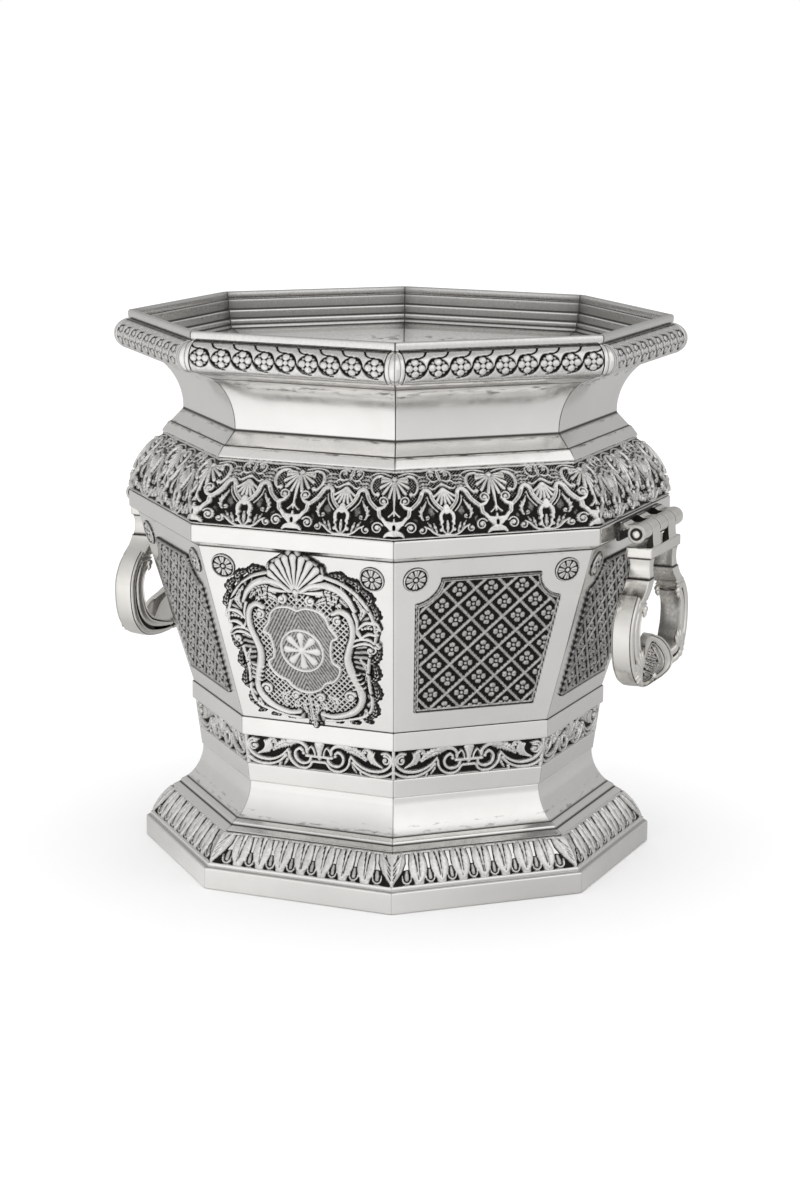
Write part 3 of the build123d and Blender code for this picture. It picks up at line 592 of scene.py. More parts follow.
CARTOUCHE_CUTS = [[(12.0, 64.0), (12.8, 60.8)], [(15.4, 63.6), (15.2, 60.0)],
                  [(18.8, 61.6), (17.4, 58.4)],
                  [(13.0, 60.0), (13.2, 57.4)], [(16.6, 58.6), (15.8, 55.8)],
                  [(20.0, 65.4), (22.4, 63.0)],
                  [(24.0, 63.0), (26.0, 60.6)], [(28.0, 57.6), (30.2, 55.6)],
                  [(26.6, 36.0), (29.6, 34.0)],
                  [(26.4, 27.6), (29.0, 25.6)], [(26.0, 18.6), (28.4, 16.8)], [(25.0, 9.0), (27.2, 7.4)]]
SHIELD = [(-2, 54.4), (0, 54.4), (4, 55.7), (9, 54.8), (12.1, 51.9), (13.4, 47.9), (16.2, 43.8),
          (13.7, 42.0),
          (12.6, 36.6), (13.1, 32.3), (15.6, 30.1), (14.9, 26.6), (12.1, 23.5), (8.7, 22.4), (6.4, 19.8),
          (3, 18.0), (0, 17.4), (-2, 17.4)]


def cartouche_blank():
    """An empty field for the right half of the cartouche."""
    return Relief(0, CARTOUCHE_HALF, -1.5, 79.5, 144)


def cartouche_pattern():
    """Half of the cartouche, and how dark it is, with a painted shadow round its edge: shell crest,
    scrolled frame and a plain shield.
    """
    outline = cartouche_blank()
    outline.polygon([(-6, 4)] + CARTOUCHE_EDGE + [(10.5, 74), (-6, 75)], 0.4)
    r = cartouche_blank()              # what stands above the ground
    u, s = np.meshgrid(r.u, r.s)
    inner = cartouche_blank()
    inner.polygon([(-4, 8), (8, 7), (16, 8.4), (22, 13), (21.6, 22), (18.6, 30), (19.6, 36), (22.4, 44),
                   (22, 52), (16, 56), (6, 60), (-4, 60)], 0.3)
    a, b = (u + s) / 2.5, (u - s) / 2.5
    net = np.minimum(np.abs(a - np.round(a)), np.abs(b - np.round(b)))
    lobes = np.abs(np.sin(33 * np.arctan2(u, s - 37)))
    r.height = np.where(inner.height > 0.5, 1.0 - ramp(net, 0.12, 0.34),
                        (0.35 + 0.5 * lobes) * (outline.height > 0.3))
    r.heft = 1.25
    r.line(CARTOUCHE_EDGE, 1.7, 1.5, "round")
    for points, width in CARTOUCHE_LEAVES:
        r.line(points, width, 1.5, "leaf")
    shell_foot, device = 62.4, 36.5                # heights of the crest's root and the shield's device
    for k in range(7):                             # shell crest
        turn = radians(90 - 15 * k)
        reach = 14.2 - 0.35 * k
        points = [(reach * d * cos(turn), shell_foot + reach * d * sin(turn)) for d in (0.12, 0.6, 1.0)]
        r.line(points, [0.9, 2.3, 3.1 if k < 5 else 2.4], 2.0)
    for points, width, lift, shape in CARTOUCHE_SCROLLS:
        r.line(points, width, lift, shape)
    r.heft = 0.95
    for volute in CARTOUCHE_VOLUTES:
        r.volute(*volute)
        at_u, at_s, radius, *_, height = volute
        r.ball(at_u, at_s, 0.42 * radius, height + 0.3)
    r.ball(0, shell_foot, 1.9, 2.4)
    r.line([(0, 61.2), (0, 57.4)], [3.0, 1.8], 2.2, "leaf")
    for k in range(5):
        r.ball(26.6 + 1.35 * k, 47.6 + 0.55 * k - 0.12 * k * k, 0.8, 1.6)
    for along in (26.8, 24.7, 22.6, 20.5):         # rings round the foot of the side strap
        below = 26.8 - along
        r.line([(18.6 + below * 0.25, along), (23.6 + below * 0.2, along + 0.8)], 1.2, 2.7)
    r.line([(0, 17.2), (0, 10.0), (0, 4.6), (0, 0.4)], [2.0, 2.4, 3.4, 3.8], 2.0, "leaf")
    r.line([(0.8, 4.8), (2.2, 2.6), (3.0, 0.6)], [1.4, 2.0, 1.2], 1.7, "leaf")
    for cut in CARTOUCHE_CUTS:
        r.cut(cut, 0.7, 0.9)
    dark = np.clip(1.0 - ramp(r.height, 0.2, 1.2), 0, 1)
    crease = np.clip((blur(r.height, 0.8 / r.step) - r.height) / 0.26, 0, 1)
    # Painted shadow: a dark band at the cartouche's outer edge, fading where the relief stands high.
    edge = 1.0 - ramp(blur(outline.height, 0.4 / r.step), 0.4, 0.8)
    edge = edge * (1.0 - ramp(r.height, 1.2, 1.5))
    dark = np.clip(0.12 + 0.95 * np.maximum(np.maximum(dark, crease), 0.7 * edge), 0, 1)
    # shield: a hatched plate with a bright rim and a plain device, a ring of petals round a boss
    field = cartouche_blank()
    field.polygon(SHIELD, 0.35)
    inside = ramp(field.height, 0.5, 1.0)
    wave = 0.5 + 0.5 * np.cos(2 * pi * (0.86 * u + 0.5 * s) / 1.25)
    plate = cartouche_blank()
    for k in range(-2, 3):
        turn = radians(45 * k)
        petal = [(reach * cos(turn), device + reach * sin(turn)) for reach in (1.8, 6.6)]
        plate.line(petal, [1.2, 3.4], 0.8)
    plate.line(arc_points(0, device, 9.2, -90, 90), 1.1, 0.8, straight=True)
    plate.ball(0, device, 1.9, 1.0)
    raised = ramp(plate.height, 0.15, 0.45)
    r.height = r.height * (1 - inside) + (1.5 + 0.16 * wave * (1 - raised) + plate.height) * inside
    dark = dark * (1 - inside) + (0.42 + 0.3 * (1 - wave)) * (1 - raised) * inside
    rim = cartouche_blank()
    rim.line(SHIELD[1:-1], 1.3, 1.0)
    r.height = np.maximum(r.height, (1.5 + 0.9 * rim.height) * (rim.height > 0.12))
    dark = np.where(rim.height > 0.35, 0.0, np.where(rim.height > 0.12, 0.9, dark))
    swell = 0.9 + 2.0 * np.clip(1 - (u / 26) ** 2 - ((s - 36) / 36) ** 2, 0, 1) ** 0.6
    ground = np.where(outline.height > 0.3, swell, -1.0)
    r.height = np.where((ground < 0) & (r.height < 0.3), -1.0, np.maximum(ground, 0) + r.height)
    return r, dark


# ---------------------------------------------------------------- surfaces and outlines
class Surface:
    """A line in the upright section of a face, (reach, z) from foot to head, measured along its length."""

    def __init__(self, points):
        self.points = np.array(points, float)
        runs = np.hypot(*np.diff(self.points, axis=0).T)
        self.s = np.concatenate([[0], np.cumsum(runs)])
        self.length = self.s[-1]
        heading = np.gradient(self.points, self.s, axis=0)
        heading /= np.hypot(*heading.T)[:, None]
        self.normal = np.stack([heading[:, 1], -heading[:, 0]], axis=1)

    def at(self, s):
        """Reach, z and outward normal at distances along the line."""
        reach, z = (np.interp(s, self.s, self.points[:, k]) for k in (0, 1))
        out, rise = (np.interp(s, self.s, self.normal[:, k]) for k in (0, 1))
        return reach, z, out, rise


def arc_through(start, middle, end, count):
    """Points on the circle through three points."""
    (x1, y1), (x2, y2), (x3, y3) = start, middle, end
    d = 2 * (x1 * (y2 - y3) + x2 * (y3 - y1) + x3 * (y1 - y2))
    a, b, c = x1 * x1 + y1 * y1, x2 * x2 + y2 * y2, x3 * x3 + y3 * y3
    x0 = (a * (y2 - y3) + b * (y3 - y1) + c * (y1 - y2)) / d
    y0 = (a * (x3 - x2) + b * (x1 - x3) + c * (x2 - x1)) / d
    angles = np.unwrap([atan2(y - y0, x - x0) for x, y in (start, middle, end)])
    radius = hypot(x1 - x0, y1 - y0)
    return arc_corners(x0, y0, radius, degrees(angles[0]), degrees(angles[2]), count)


def shoulder_line(depth=0.0, count=40):
    """The shoulder's arc, some depth below its face."""
    centre = SHOULDER_REACH - SHOULDER_RADIUS
    sweep = np.arcsin((SHOULDER_HEAD_Z - SHOULDER_FOOT_Z) / SHOULDER_RADIUS)
    return arc_corners(centre, SHOULDER_FOOT_Z, SHOULDER_RADIUS - depth, 0, degrees(sweep), count)


def flare_line(depth=0.0):
    """The neck's hollow curve, from its narrowest line up to the rim."""
    centre = NECK_REACH + FLARE_RADIUS
    top = degrees(np.arcsin((FLARE_TOP - NECK_Z) / FLARE_RADIUS))
    return arc_corners(centre, NECK_Z, FLARE_RADIUS + depth, 180, 180 - top, 16)


def leaf_line(depth=0.0):
    """The leaf band's curve, some depth behind its face."""
    points = (LEAF_REACH, LEDGE_TOP), (96.1, 16.7), (91.2, LEAF_HEAD_Z)
    return arc_through(*[(reach - depth, z) for reach, z in points], 20)


def loop_normals(outline):
    """Directions square to a closed outline, to the right of the way it runs."""
    heading = np.roll(outline, -1, axis=0) - np.roll(outline, 1, axis=0)
    heading /= np.hypot(*heading.T)[:, None] + 1e-9
    return np.stack([heading[:, 1], -heading[:, 0]], axis=1)


ROUNDED_TURN = radians(12)             # corners turning less than this are left alone
EDGE_MARGIN = 0.5                      # a crease's shade ends this far past its rounding


def rounded(points, radius):
    """A closed outline with its sharp corners rounded, and how deep in a crease each point lies."""
    p = np.array(points, float)
    out, crease = [], []
    for a, b, c in zip(np.roll(p, 1, axis=0), p, np.roll(p, -1, axis=0)):
        run_in, run_out = np.hypot(*(b - a)), np.hypot(*(c - b))
        into, away = (b - a) / run_in, (c - b) / run_out
        cross = into[0] * away[1] - into[1] * away[0]
        turn = abs(np.arctan2(cross, into @ away))
        if turn < ROUNDED_TURN:
            out.append(b)
            crease.append(0.0)
            continue
        cut = min(radius * tan(turn / 2) * 1.3, 0.36 * run_in, 0.36 * run_out)
        hollow = 0.85 if cross < 0 else 0.0
        if run_in > 2.6 * (cut + EDGE_MARGIN):
            out.append(b - into * (cut + EDGE_MARGIN))
            crease.append(0.0)
        for t in (0.0, 0.33, 0.67, 1.0):
            q = (1 - t) ** 2 * (b - into * cut) + 2 * t * (1 - t) * b + t * t * (b + away * cut)
            out.append(q)
            crease.append(hollow)
        if run_out > 2.6 * (cut + EDGE_MARGIN):
            out.append(b + away * (cut + EDGE_MARGIN))
            crease.append(0.0)
    return np.array(out), np.array(crease)


# ---------------------------------------------------------------- meshes
BACK_TARNISH, SKIRT_TARNISH = 0.8, 0.9


def new_mesh(name, points, faces, dark, checked=False):
    """A smooth-shaded mesh from points in millimetres, with its tarnish and painted shade stored on the
    points.
    """
    mesh = bpy.data.meshes.new(name)
    mesh.from_pydata((np.asarray(points) * MM).tolist(), [], faces)
    if checked:
        mesh.validate()
    layer = mesh.attributes.new("tarnish_and_painted_shade", "FLOAT", "POINT")
    values = np.zeros(len(mesh.vertices), np.float32)
    values[:len(dark)] = np.asarray(dark, np.float32)[:len(values)]
    layer.data.foreach_set("value", values)
    mesh.shade_smooth()
    return mesh


def place(name, mesh, material, body):
    """A piece that stands for the CAD node of the same name."""
    piece = bpy.data.objects.new(name, mesh)
    bpy.context.scene.collection.objects.link(piece)
    mesh.materials.clear()
    mesh.materials.append(material)
    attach(piece, body)
    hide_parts(name)


def turned_copy(mesh, azimuth):
    """The same mesh, turned from the right-hand face to another."""
    copy = mesh.copy()
    copy.transform(Matrix.Rotation(radians(azimuth), 4, "Z"))
    return copy


def on_every_face(stem, mesh, material, faces=FACES):
    """Copies of a right-hand mesh on the named faces, each in place of its CAD node."""
    for face in faces:
        place(f"{stem}_{face}", turned_copy(mesh, FACES[face]), material, "bucket")


def grid_quads(index):
    """Corners of the cells of a grid of point numbers."""
    return np.stack([index[:-1, :-1], index[:-1, 1:], index[1:, 1:], index[1:, :-1]], axis=-1)


def closed_grid(front, back_left, back_right):
    """Faces of a strip: a front grid closed by long quads behind it and a face at each end."""
    rows, cols = front.shape[:2]
    index = np.arange(rows * cols).reshape(rows, cols)
    left = rows * cols + np.arange(rows)
    right = left + rows
    faces = grid_quads(index).reshape(-1, 4).tolist()
    for i in range(rows - 1):
        faces.append([index[i, 0], index[i + 1, 0], left[i + 1], left[i]])
        faces.append([right[i], right[i + 1], index[i + 1, -1], index[i, -1]])
        faces.append([right[i], left[i], left[i + 1], right[i + 1]])
    faces.append([left[0], right[0]] + index[0, ::-1].tolist())
    faces.append(index[-1].tolist() + [right[-1], left[-1]])
    points = np.vstack([front.reshape(-1, 3), back_left, back_right])
    return points, [[int(k) for k in face] for face in faces]


def chased_strip(name, surface, height, depth, u, dark, mitred=True, backing=0.6):
    """A relief band's mesh on the right-hand face; height is above its ground, depth below the face."""
    rows, cols = height.shape
    s = np.linspace(0, surface.length, rows)
    reach, z, out, rise = (a[:, None] for a in surface.at(s))
    lift = height - depth
    if mitred:
        widest = np.abs(u).max()
        half = reach * MITRE
        pull = ramp(np.abs(u), 0.5 * widest, widest)[None, :] * np.sign(u)[None, :]
        across = u[None, :] + pull * (half - widest)
        across = across * (1 + lift * out / reach)
        back_half = ((reach - (depth + backing) * out) * MITRE)[:, 0]
    else:
        across = np.broadcast_to(u[None, :], height.shape)
        back_half = np.full(rows, np.abs(u).max())
    front = np.stack([reach + lift * out, across, z + lift * rise], axis=-1)
    back_reach, back_z = ((a - (depth + backing) * b)[:, 0] for a, b in ((reach, out), (z, rise)))
    left = np.stack([back_reach, -back_half, back_z], axis=1)
    right = np.stack([back_reach, back_half, back_z], axis=1)
    points, faces = closed_grid(front, left, right)
    return new_mesh(name, points, faces, np.concatenate([dark.ravel(), np.full(2 * rows, BACK_TARNISH)]))


def mirrored(height):
    """A half pattern and its mirror image."""
    return np.hstack([height[:, :0:-1], height])


def masked_relief(name, height, u, s, floor, edge, dark):
    """A closed mesh on the panel: the cells above an edge height, a skirt to the floor and a flat back."""
    keep = height > edge
    cells = keep[:-1, :-1] | keep[:-1, 1:] | keep[1:, 1:] | keep[1:, :-1]
    index = np.arange(height.size).reshape(height.shape)
    quads = grid_quads(index)[cells]
    used, inverse = np.unique(quads, return_inverse=True)
    quads = inverse.reshape(-1, 4)
    uu, ss = np.meshgrid(u, s)
    flat = np.stack([uu.ravel()[used], ss.ravel()[used]], axis=1)
    lifts = height.ravel()[used]
    edges = np.concatenate([quads[:, [k, (k + 1) % 4]] for k in range(4)])
    twin = {(int(a), int(b)) for a, b in edges}
    rim = {a: b for a, b in twin if (b, a) not in twin}
    faces = quads.tolist()
    below = {a: len(used) + k for k, a in enumerate(rim)}
    for a, b in rim.items():
        faces.append([b, a, below[a], below[b]])
    left = dict(rim)
    while left:
        start = next(iter(left))
        loop, here = [start], left.pop(start)
        while here != start and here in left:
            loop.append(here)
            here = left.pop(here)
        faces.append([below[a] for a in reversed(loop)])
    flat = np.vstack([flat, flat[list(rim)]])
    lifts = np.concatenate([lifts, np.full(len(rim), floor)])
    tarnish_and_painted_shade = np.concatenate([dark.ravel()[used], np.full(len(rim), SKIRT_TARNISH)])
    return new_mesh(name, on_panel(flat[:, 0], flat[:, 1], lifts), faces, tarnish_and_painted_shade, checked=True)


def on_panel(u, s, lift):
    """Points on the sloping panel of the right-hand face."""
    run, rise = PANEL_HEAD[0] - PANEL_FOOT[0], PANEL_HEAD[1] - PANEL_FOOT[1]
    slope = hypot(run, rise)
    out, up = rise / slope, run / slope
    return np.stack([PANEL_FOOT[0] + s * up + lift * out, u, PANEL_FOOT[1] + s * out - lift * up], axis=1)


MITRE_STEPS = (0.0, 0.1, 0.25, 0.5, 0.9, 1.6, 3.0, 6.0)
MITRE_ROUNDING, MITRE_DROP = 0.9, 0.16
SEAM_WIDTH, SEAM_FAINT_BELOW, FAINT_SEAM = 0.40, 180, 0.6   # the seam shows less below this height
CORNER_SHADE, CORNER_SHADE_REACH = 0.22, 4.0       # on the inner side, beside each mitre
OUTER_SIDE = -0.3                      # a normal's lean outwards, above which a point is outside
SHARP, CASTING_SHARP = radians(50), radians(48)    # edges sharper than this stay crisp
# How dark the inside wall and the mouth's upward faces are painted, by height, from the neck to the lip:
# painted shade and dim reflections inside the bucket.
MOUTH_PAINTED_SHADE = [(150, 0.3), (188, 0.32), (196, 0.20), (210, 0.22), (214, 0.30), (215.6, 0.55),
                 (217.4, 0.16), (218.0, 0.5), (221.0, 0.42), (221.6, 0.12), (222.2, 0.50), (227, 0.36)]


def columns_across():
    """Places across a face, -1 to 1, crowded at the mitres, with their distance from the mitre."""
    width = 90.0
    near = np.array(MITRE_STEPS) / (width / 2)
    inner = np.linspace(near[-1], 1, 7)[1:-1]
    half = np.concatenate([near, inner])
    t = np.concatenate([half - 1, [0.0], (1 - half)[::-1]])
    return t, (1 - np.abs(t)) * width / 2


def plain_section(points, seam=0.95, radius=0.45, base=0.0, groove=1.0):
    """Section points with their outward normals, tarnish and painted shade, and how strongly the mitre
    shows there.
    """
    outline, crease = rounded(points, radius)
    normal = loop_normals(outline)
    z = outline[:, 1]
    # Painted shade: inward faces, and upward faces in the mouth, take the inside wall's grey by height.
    hollow = (normal[:, 0] < OUTER_SIDE) | ((z > 189) & (z < 226) & (normal[:, 1] > 0.3))
    wall = np.interp(z, *np.array(MOUTH_PAINTED_SHADE).T)
    dark = np.maximum(groove * crease, np.where(hollow, wall, base))
    return outline, normal, dark, np.full(len(outline), seam)


def face_strip_points(section, azimuth=0.0):
    """Grid of points, outline by columns, for one face of a plain moulding."""
    outline, normal, crease, seam = section
    t, away = columns_across()
    drop = MITRE_DROP * np.clip(1 - away / MITRE_ROUNDING, 0, 1) ** 2
    outside = (normal[:, 0] > OUTER_SIDE).astype(float)[:, None]
    sunk = drop[None, :] * outside
    reach = outline[:, 0][:, None] - sunk * normal[:, 0][:, None]
    z = outline[:, 1][:, None] - sunk * normal[:, 1][:, None]
    across = t[None, :] * reach * MITRE
    turn = radians(azimuth)
    points = np.stack([reach * cos(turn) - across * sin(turn), reach * sin(turn) + across * cos(turn),
                       z + 0 * across], axis=-1)
    seam = np.where(outline[:, 1] > SEAM_FAINT_BELOW, seam, FAINT_SEAM * seam)
    line = np.clip(1.3 - away / SEAM_WIDTH, 0, 1)[None, :] * seam[:, None]
    within = CORNER_SHADE * np.exp(-away / CORNER_SHADE_REACH)[None, :] * (1 - outside)
    return points, np.clip(np.maximum(crease[:, None] + within, line), 0, 1)


def plain_strip(name, section):
    """A solid strip of moulding for the right-hand face, with its mitred ends."""
    points, dark = face_strip_points(section)
    n, cols = points.shape[:2]
    index = np.arange(n * cols).reshape(n, cols)
    up = np.roll(index, -1, axis=0)
    quads = np.stack([index[:, :-1], index[:, 1:], up[:, 1:], up[:, :-1]], axis=-1).reshape(-1, 4)
    faces = quads.tolist() + [index[:, 0].tolist()[::-1], index[:, -1].tolist()]
    mesh = new_mesh(name, points.reshape(-1, 3), faces, dark.ravel())
    mesh.set_sharp_from_angle(angle=SHARP)
    return mesh


def plain_ring(name, section):
    """A moulding run round all eight faces as one ring."""
    parts = [face_strip_points(section, azimuth) for azimuth in FACES.values()]
    points = np.concatenate([p[:, :-1] for p, _ in parts], axis=1)
    dark = np.concatenate([d[:, :-1] for _, d in parts], axis=1)
    n, cols = points.shape[:2]
    index = np.arange(n * cols).reshape(n, cols)
    up, right = np.roll(index, -1, axis=0), np.roll(index, -1, axis=1)
    quads = np.stack([index, right, np.roll(up, -1, axis=1), up], axis=-1).reshape(-1, 4)
    mesh = new_mesh(name, points.reshape(-1, 3), quads.tolist(), dark.ravel())
    mesh.set_sharp_from_angle(angle=SHARP)
    place(name, mesh, PLAIN, "bucket")


# ---------------------------------------------------------------- materials
def shader_nodes(name):
    material = bpy.data.materials.new(name)
    material.use_nodes = True
    tree = material.node_tree
    tree.nodes.clear()
    shader = tree.nodes.new("ShaderNodeBsdfPrincipled")
    output = tree.nodes.new("ShaderNodeOutputMaterial")
    tree.links.new(shader.outputs["BSDF"], output.inputs["Surface"])
    return material, tree, shader


def noise(tree, where, scale, detail=3.0, roughness=0.5):
    node = tree.nodes.new("ShaderNodeTexNoise")
    node.inputs["Scale"].default_value = scale
    node.inputs["Detail"].default_value = detail
    node.inputs["Roughness"].default_value = roughness
    tree.links.new(where, node.inputs["Vector"])
    return node.outputs["Fac"]


def sum_of(tree, kind, a, b, clamp=False):
    """A Math node on two values, each a socket or a number."""
    node = tree.nodes.new("ShaderNodeMath")
    node.operation = kind
    node.use_clamp = clamp
    for socket, value in zip(node.inputs, (a, b)):
        if isinstance(value, (int, float)):
            socket.default_value = value
        else:
            tree.links.new(value, socket)
    return node.outputs[0]


def remap(tree, value, low, high, to_low, to_high):
    node = tree.nodes.new("ShaderNodeMapRange")
    node.inputs["From Min"].default_value = low
    node.inputs["From Max"].default_value = high
    node.inputs["To Min"].default_value = to_low
    node.inputs["To Max"].default_value = to_high
    tree.links.new(value, node.inputs["Value"])
    return node.outputs["Result"]


def blend_colour(tree, factor, a, b):
    node = tree.nodes.new("ShaderNodeMix")
    node.data_type = "RGBA"
    tree.links.new(factor, node.inputs["Factor"])
    for socket, value in ((node.inputs["A"], a), (node.inputs["B"], b)):
        if isinstance(value, tuple):
            socket.default_value = (*value, 1)
        else:
            tree.links.new(value, socket)
    return node.outputs["Result"]


def stain(tree, where, tarnish_and_painted_shade, height, reach, strength):
    """Broken streaks of tarnish along one height, where a polishing cloth never gets in."""
    parts = tree.nodes.new("ShaderNodeSeparateXYZ")
    tree.links.new(where, parts.inputs["Vector"])
    away = sum_of(tree, "ABSOLUTE", sum_of(tree, "SUBTRACT", parts.outputs["Z"], height), 0.0)
    stretch = tree.nodes.new("ShaderNodeMapping")
    stretch.inputs["Scale"].default_value = (1.0, 1.0, 5.0)
    tree.links.new(where, stretch.inputs["Vector"])
    broken = remap(tree, noise(tree, stretch.outputs["Vector"], 130.0, 5.0, 0.7), 0.46, 0.64, 0.0,
                   strength)
    spot = sum_of(tree, "MULTIPLY", broken, remap(tree, away, 0.3 * reach, reach, 1.0, 0.0))
    return sum_of(tree, "MAXIMUM", tarnish_and_painted_shade, spot)


def silver(name, bright, dull, dark, roughness, rough_dark, smudge, dent, mottle, stains=()):
    """Polished silver, dull where handled, and dark where the stored value is high: oxide in the hollows
    and painted shade elsewhere.
    """
    material, tree, shader = shader_nodes(name)
    shader.inputs["Metallic"].default_value = 1.0
    where = tree.nodes.new("ShaderNodeTexCoord").outputs["Object"]
    layer = tree.nodes.new("ShaderNodeAttribute")
    layer.attribute_name = "tarnish_and_painted_shade"
    tarnish_and_painted_shade = layer.outputs["Fac"]
    clouds = noise(tree, where, 34.0, 5.0, 0.6)
    specks = noise(tree, where, 900.0, 3.0, 0.6)
    for height, reach, strength in stains:
        tarnish_and_painted_shade = stain(tree, where, tarnish_and_painted_shade, height, reach, strength)
    uneven = sum_of(tree, "ADD", tarnish_and_painted_shade, remap(tree, specks, 0.3, 0.7, -mottle, mottle))
    black = remap(tree, uneven, 0.18, 0.80, 0.0, 1.0)
    worn = remap(tree, clouds, 0.35, 0.75, 0.0, smudge)
    body = blend_colour(tree, worn, bright, dull)
    tree.links.new(blend_colour(tree, black, body, dark), shader.inputs["Base Color"])
    streaks = tree.nodes.new("ShaderNodeMapping")
    streaks.inputs["Scale"].default_value = (1.0, 1.0, 0.12)
    tree.links.new(where, streaks.inputs["Vector"])
    brushed = noise(tree, streaks.outputs["Vector"], 420.0, 4.0, 0.65)
    gloss = sum_of(tree, "ADD", remap(tree, clouds, 0.3, 0.8, roughness * 0.8, roughness * 1.35),
                   remap(tree, brushed, 0.4, 0.8, 0.0, 0.05))
    gloss = sum_of(tree, "ADD", gloss, sum_of(tree, "MULTIPLY", black, rough_dark), clamp=True)
    tree.links.new(gloss, shader.inputs["Roughness"])
    bump = tree.nodes.new("ShaderNodeBump")
    bump.inputs["Strength"].default_value = dent
    bump.inputs["Distance"].default_value = 0.0012
    waves = noise(tree, where, 22.0, 2.0, 0.4)
    fine = sum_of(tree, "MULTIPLY", noise(tree, where, 1300.0, 2.0, 0.5), 0.02)
    tree.links.new(sum_of(tree, "ADD", waves, fine), bump.inputs["Height"])
    tree.links.new(bump.outputs["Normal"], shader.inputs["Normal"])
    return material


# Stained lines on the plain silver: height in metres, how far they reach, how strong.
STAINS = [(0.2078, 0.0028, 0.62), (0.2126, 0.0020, 0.40), (0.1880, 0.0016, 0.70), (0.1828, 0.0012, 0.75),
          (0.0275, 0.0016, 0.55), (0.0300, 0.0010, 0.45), (0.1432, 0.0010, 0.35)]
PLAIN = silver("polished_silver", (0.90, 0.89, 0.87), (0.78, 0.77, 0.75), (0.085, 0.08, 0.075),
               roughness=0.17, rough_dark=0.25, smudge=0.5, dent=0.14, mottle=0.03, stains=STAINS)
CHASED = silver("chased_silver", (0.86, 0.85, 0.83), (0.70, 0.69, 0.67), (0.022, 0.021, 0.020),
                roughness=0.22, rough_dark=0.30, smudge=0.6, dent=0.05, mottle=0.10)
HANDLE = silver("handle_silver", (0.86, 0.84, 0.80), (0.68, 0.66, 0.62), (0.045, 0.042, 0.038),
                roughness=0.20, rough_dark=0.25, smudge=0.6, dent=0.10, mottle=0.07)


# ---------------------------------------------------------------- sheet panels and plain mouldings
def panel_outline():
    """One sheet panel's section: up its outside from the waist, then down its inside."""
    waist, belt = 78.6, SCROLL_FOOT_REACH
    scroll_ground, shoulder_ground = SCROLL_RELIEF + SINK, SHOULDER_RELIEF + SINK
    neck = [(93.5, 179.0), (91.0, 182.6), (90.1, 182.9), (86.2, 187.3), (NECK_REACH, 188.6)]
    outer = [(waist, WAIST_Z), (waist + 0.1, WAIST_Z + 1.2), (belt, SCROLL_FOOT_Z),
             (belt - scroll_ground, SCROLL_FOOT_Z), (SCROLL_REACH - scroll_ground, SCROLL_HEAD_Z),
             (LOWER_BAND, SCROLL_HEAD_Z), (LOWER_BAND, PANEL_FOOT[1]), PANEL_FOOT, PANEL_HEAD,
             (BAND_REACH, UPPER_BAND_FOOT), (BAND_REACH, UPPER_BAND_TOP),
             (SHOULDER_REACH - shoulder_ground, UPPER_BAND_TOP)]
    outer += shoulder_line(shoulder_ground, 24) + shoulder_line()[-1:] + neck + flare_line()
    outer += [(101.5, 212.3), (RIM_BACK, 214.2), (RIM_BACK, LIP_FOOT)]
    wall = RIM_BACK - SHEET
    inner = [(wall, LIP_FOOT), (wall, 222.0), (wall - 0.6, 221.4), (wall - 0.6, 218.0),
             (wall - 1.3, 217.2), (wall - 1.3, 215.4), (100.6, 213.7)]
    inner += flare_line(SHEET)[::-1]
    inner += [(NECK_REACH - SHEET, 188.0), (88.4, 182.0)]
    inner += shoulder_line(SHOULDER_RELIEF + SHEET, 20)[::-1]
    inner += [(SHOULDER_REACH - SHOULDER_RELIEF - SHEET, 147.2),
              (PANEL_HEAD[0] - SHEET, PANEL_HEAD[1] + 0.4),
              (PANEL_FOOT[0] - SHEET, PANEL_FOOT[1]), (waist - SHEET, SCROLL_FOOT_Z),
              (waist - SHEET, WAIST_Z)]
    return outer + inner


def foot_outline():
    """The hollow foot's section: leaf ground, two small steps, the cove, and a flange under the floor."""
    waist = 78.1
    outer = leaf_line(LEAF_RELIEF + SINK) + [(90.8, 22.7), (87.6, 24.4), (87.0, 25.6), (84.7, 26.8)]
    outer += arc_through((84.7, 26.8), (80.0, 33.0), (waist, 40.0), 14)[1:] + [(waist, WAIST_Z)]
    inner = [(waist - 3.5, WAIST_Z), (waist - 3.5, WAIST_Z - SHEET), (waist - 1.6, WAIST_Z - SHEET - 0.6)]
    inner += arc_through((76.5, 39.0), (78.8, 32.1), (84.1, 25.3), 10)
    inner += [(88.6, 21.5), (93.2, 16.3), (LEAF_REACH - LEAF_RELIEF - SHEET, LEDGE_TOP)]
    return outer + inner


PLINTH_BACK, LEDGE_REACH, LIP_BACK = PLINTH_REACH - PLINTH_WIDTH, 99.6, LIP_REACH - 3.2
PLINTH_OUTLINE = [(PLINTH_BACK, 0), (PLINTH_REACH, 0), (PLINTH_REACH, PLINTH_TOP),
                  (LEDGE_REACH, PLINTH_TOP), (LEDGE_REACH, LEDGE_TOP), (PLINTH_BACK, LEDGE_TOP)]
LIP_OUTLINE = [(LIP_BACK, LIP_FOOT), (LIP_REACH, LIP_FOOT), (LIP_REACH, HEIGHT), (LIP_BACK, HEIGHT)]

panel = plain_strip("side_panel", plain_section(panel_outline()))
on_every_face("side_panel", panel, PLAIN)
plain_ring("foot_cove", plain_section(foot_outline()))
plain_ring("plinth_ring", plain_section(PLINTH_OUTLINE, seam=0.55, radius=0.7, groove=0.55))
# Painted shade: the lip wire is darkened all over, apart from its inward faces, which take the inside
# wall's painted shade.
plain_ring("lip_wire", plain_section(LIP_OUTLINE, radius=0.8, base=0.26))

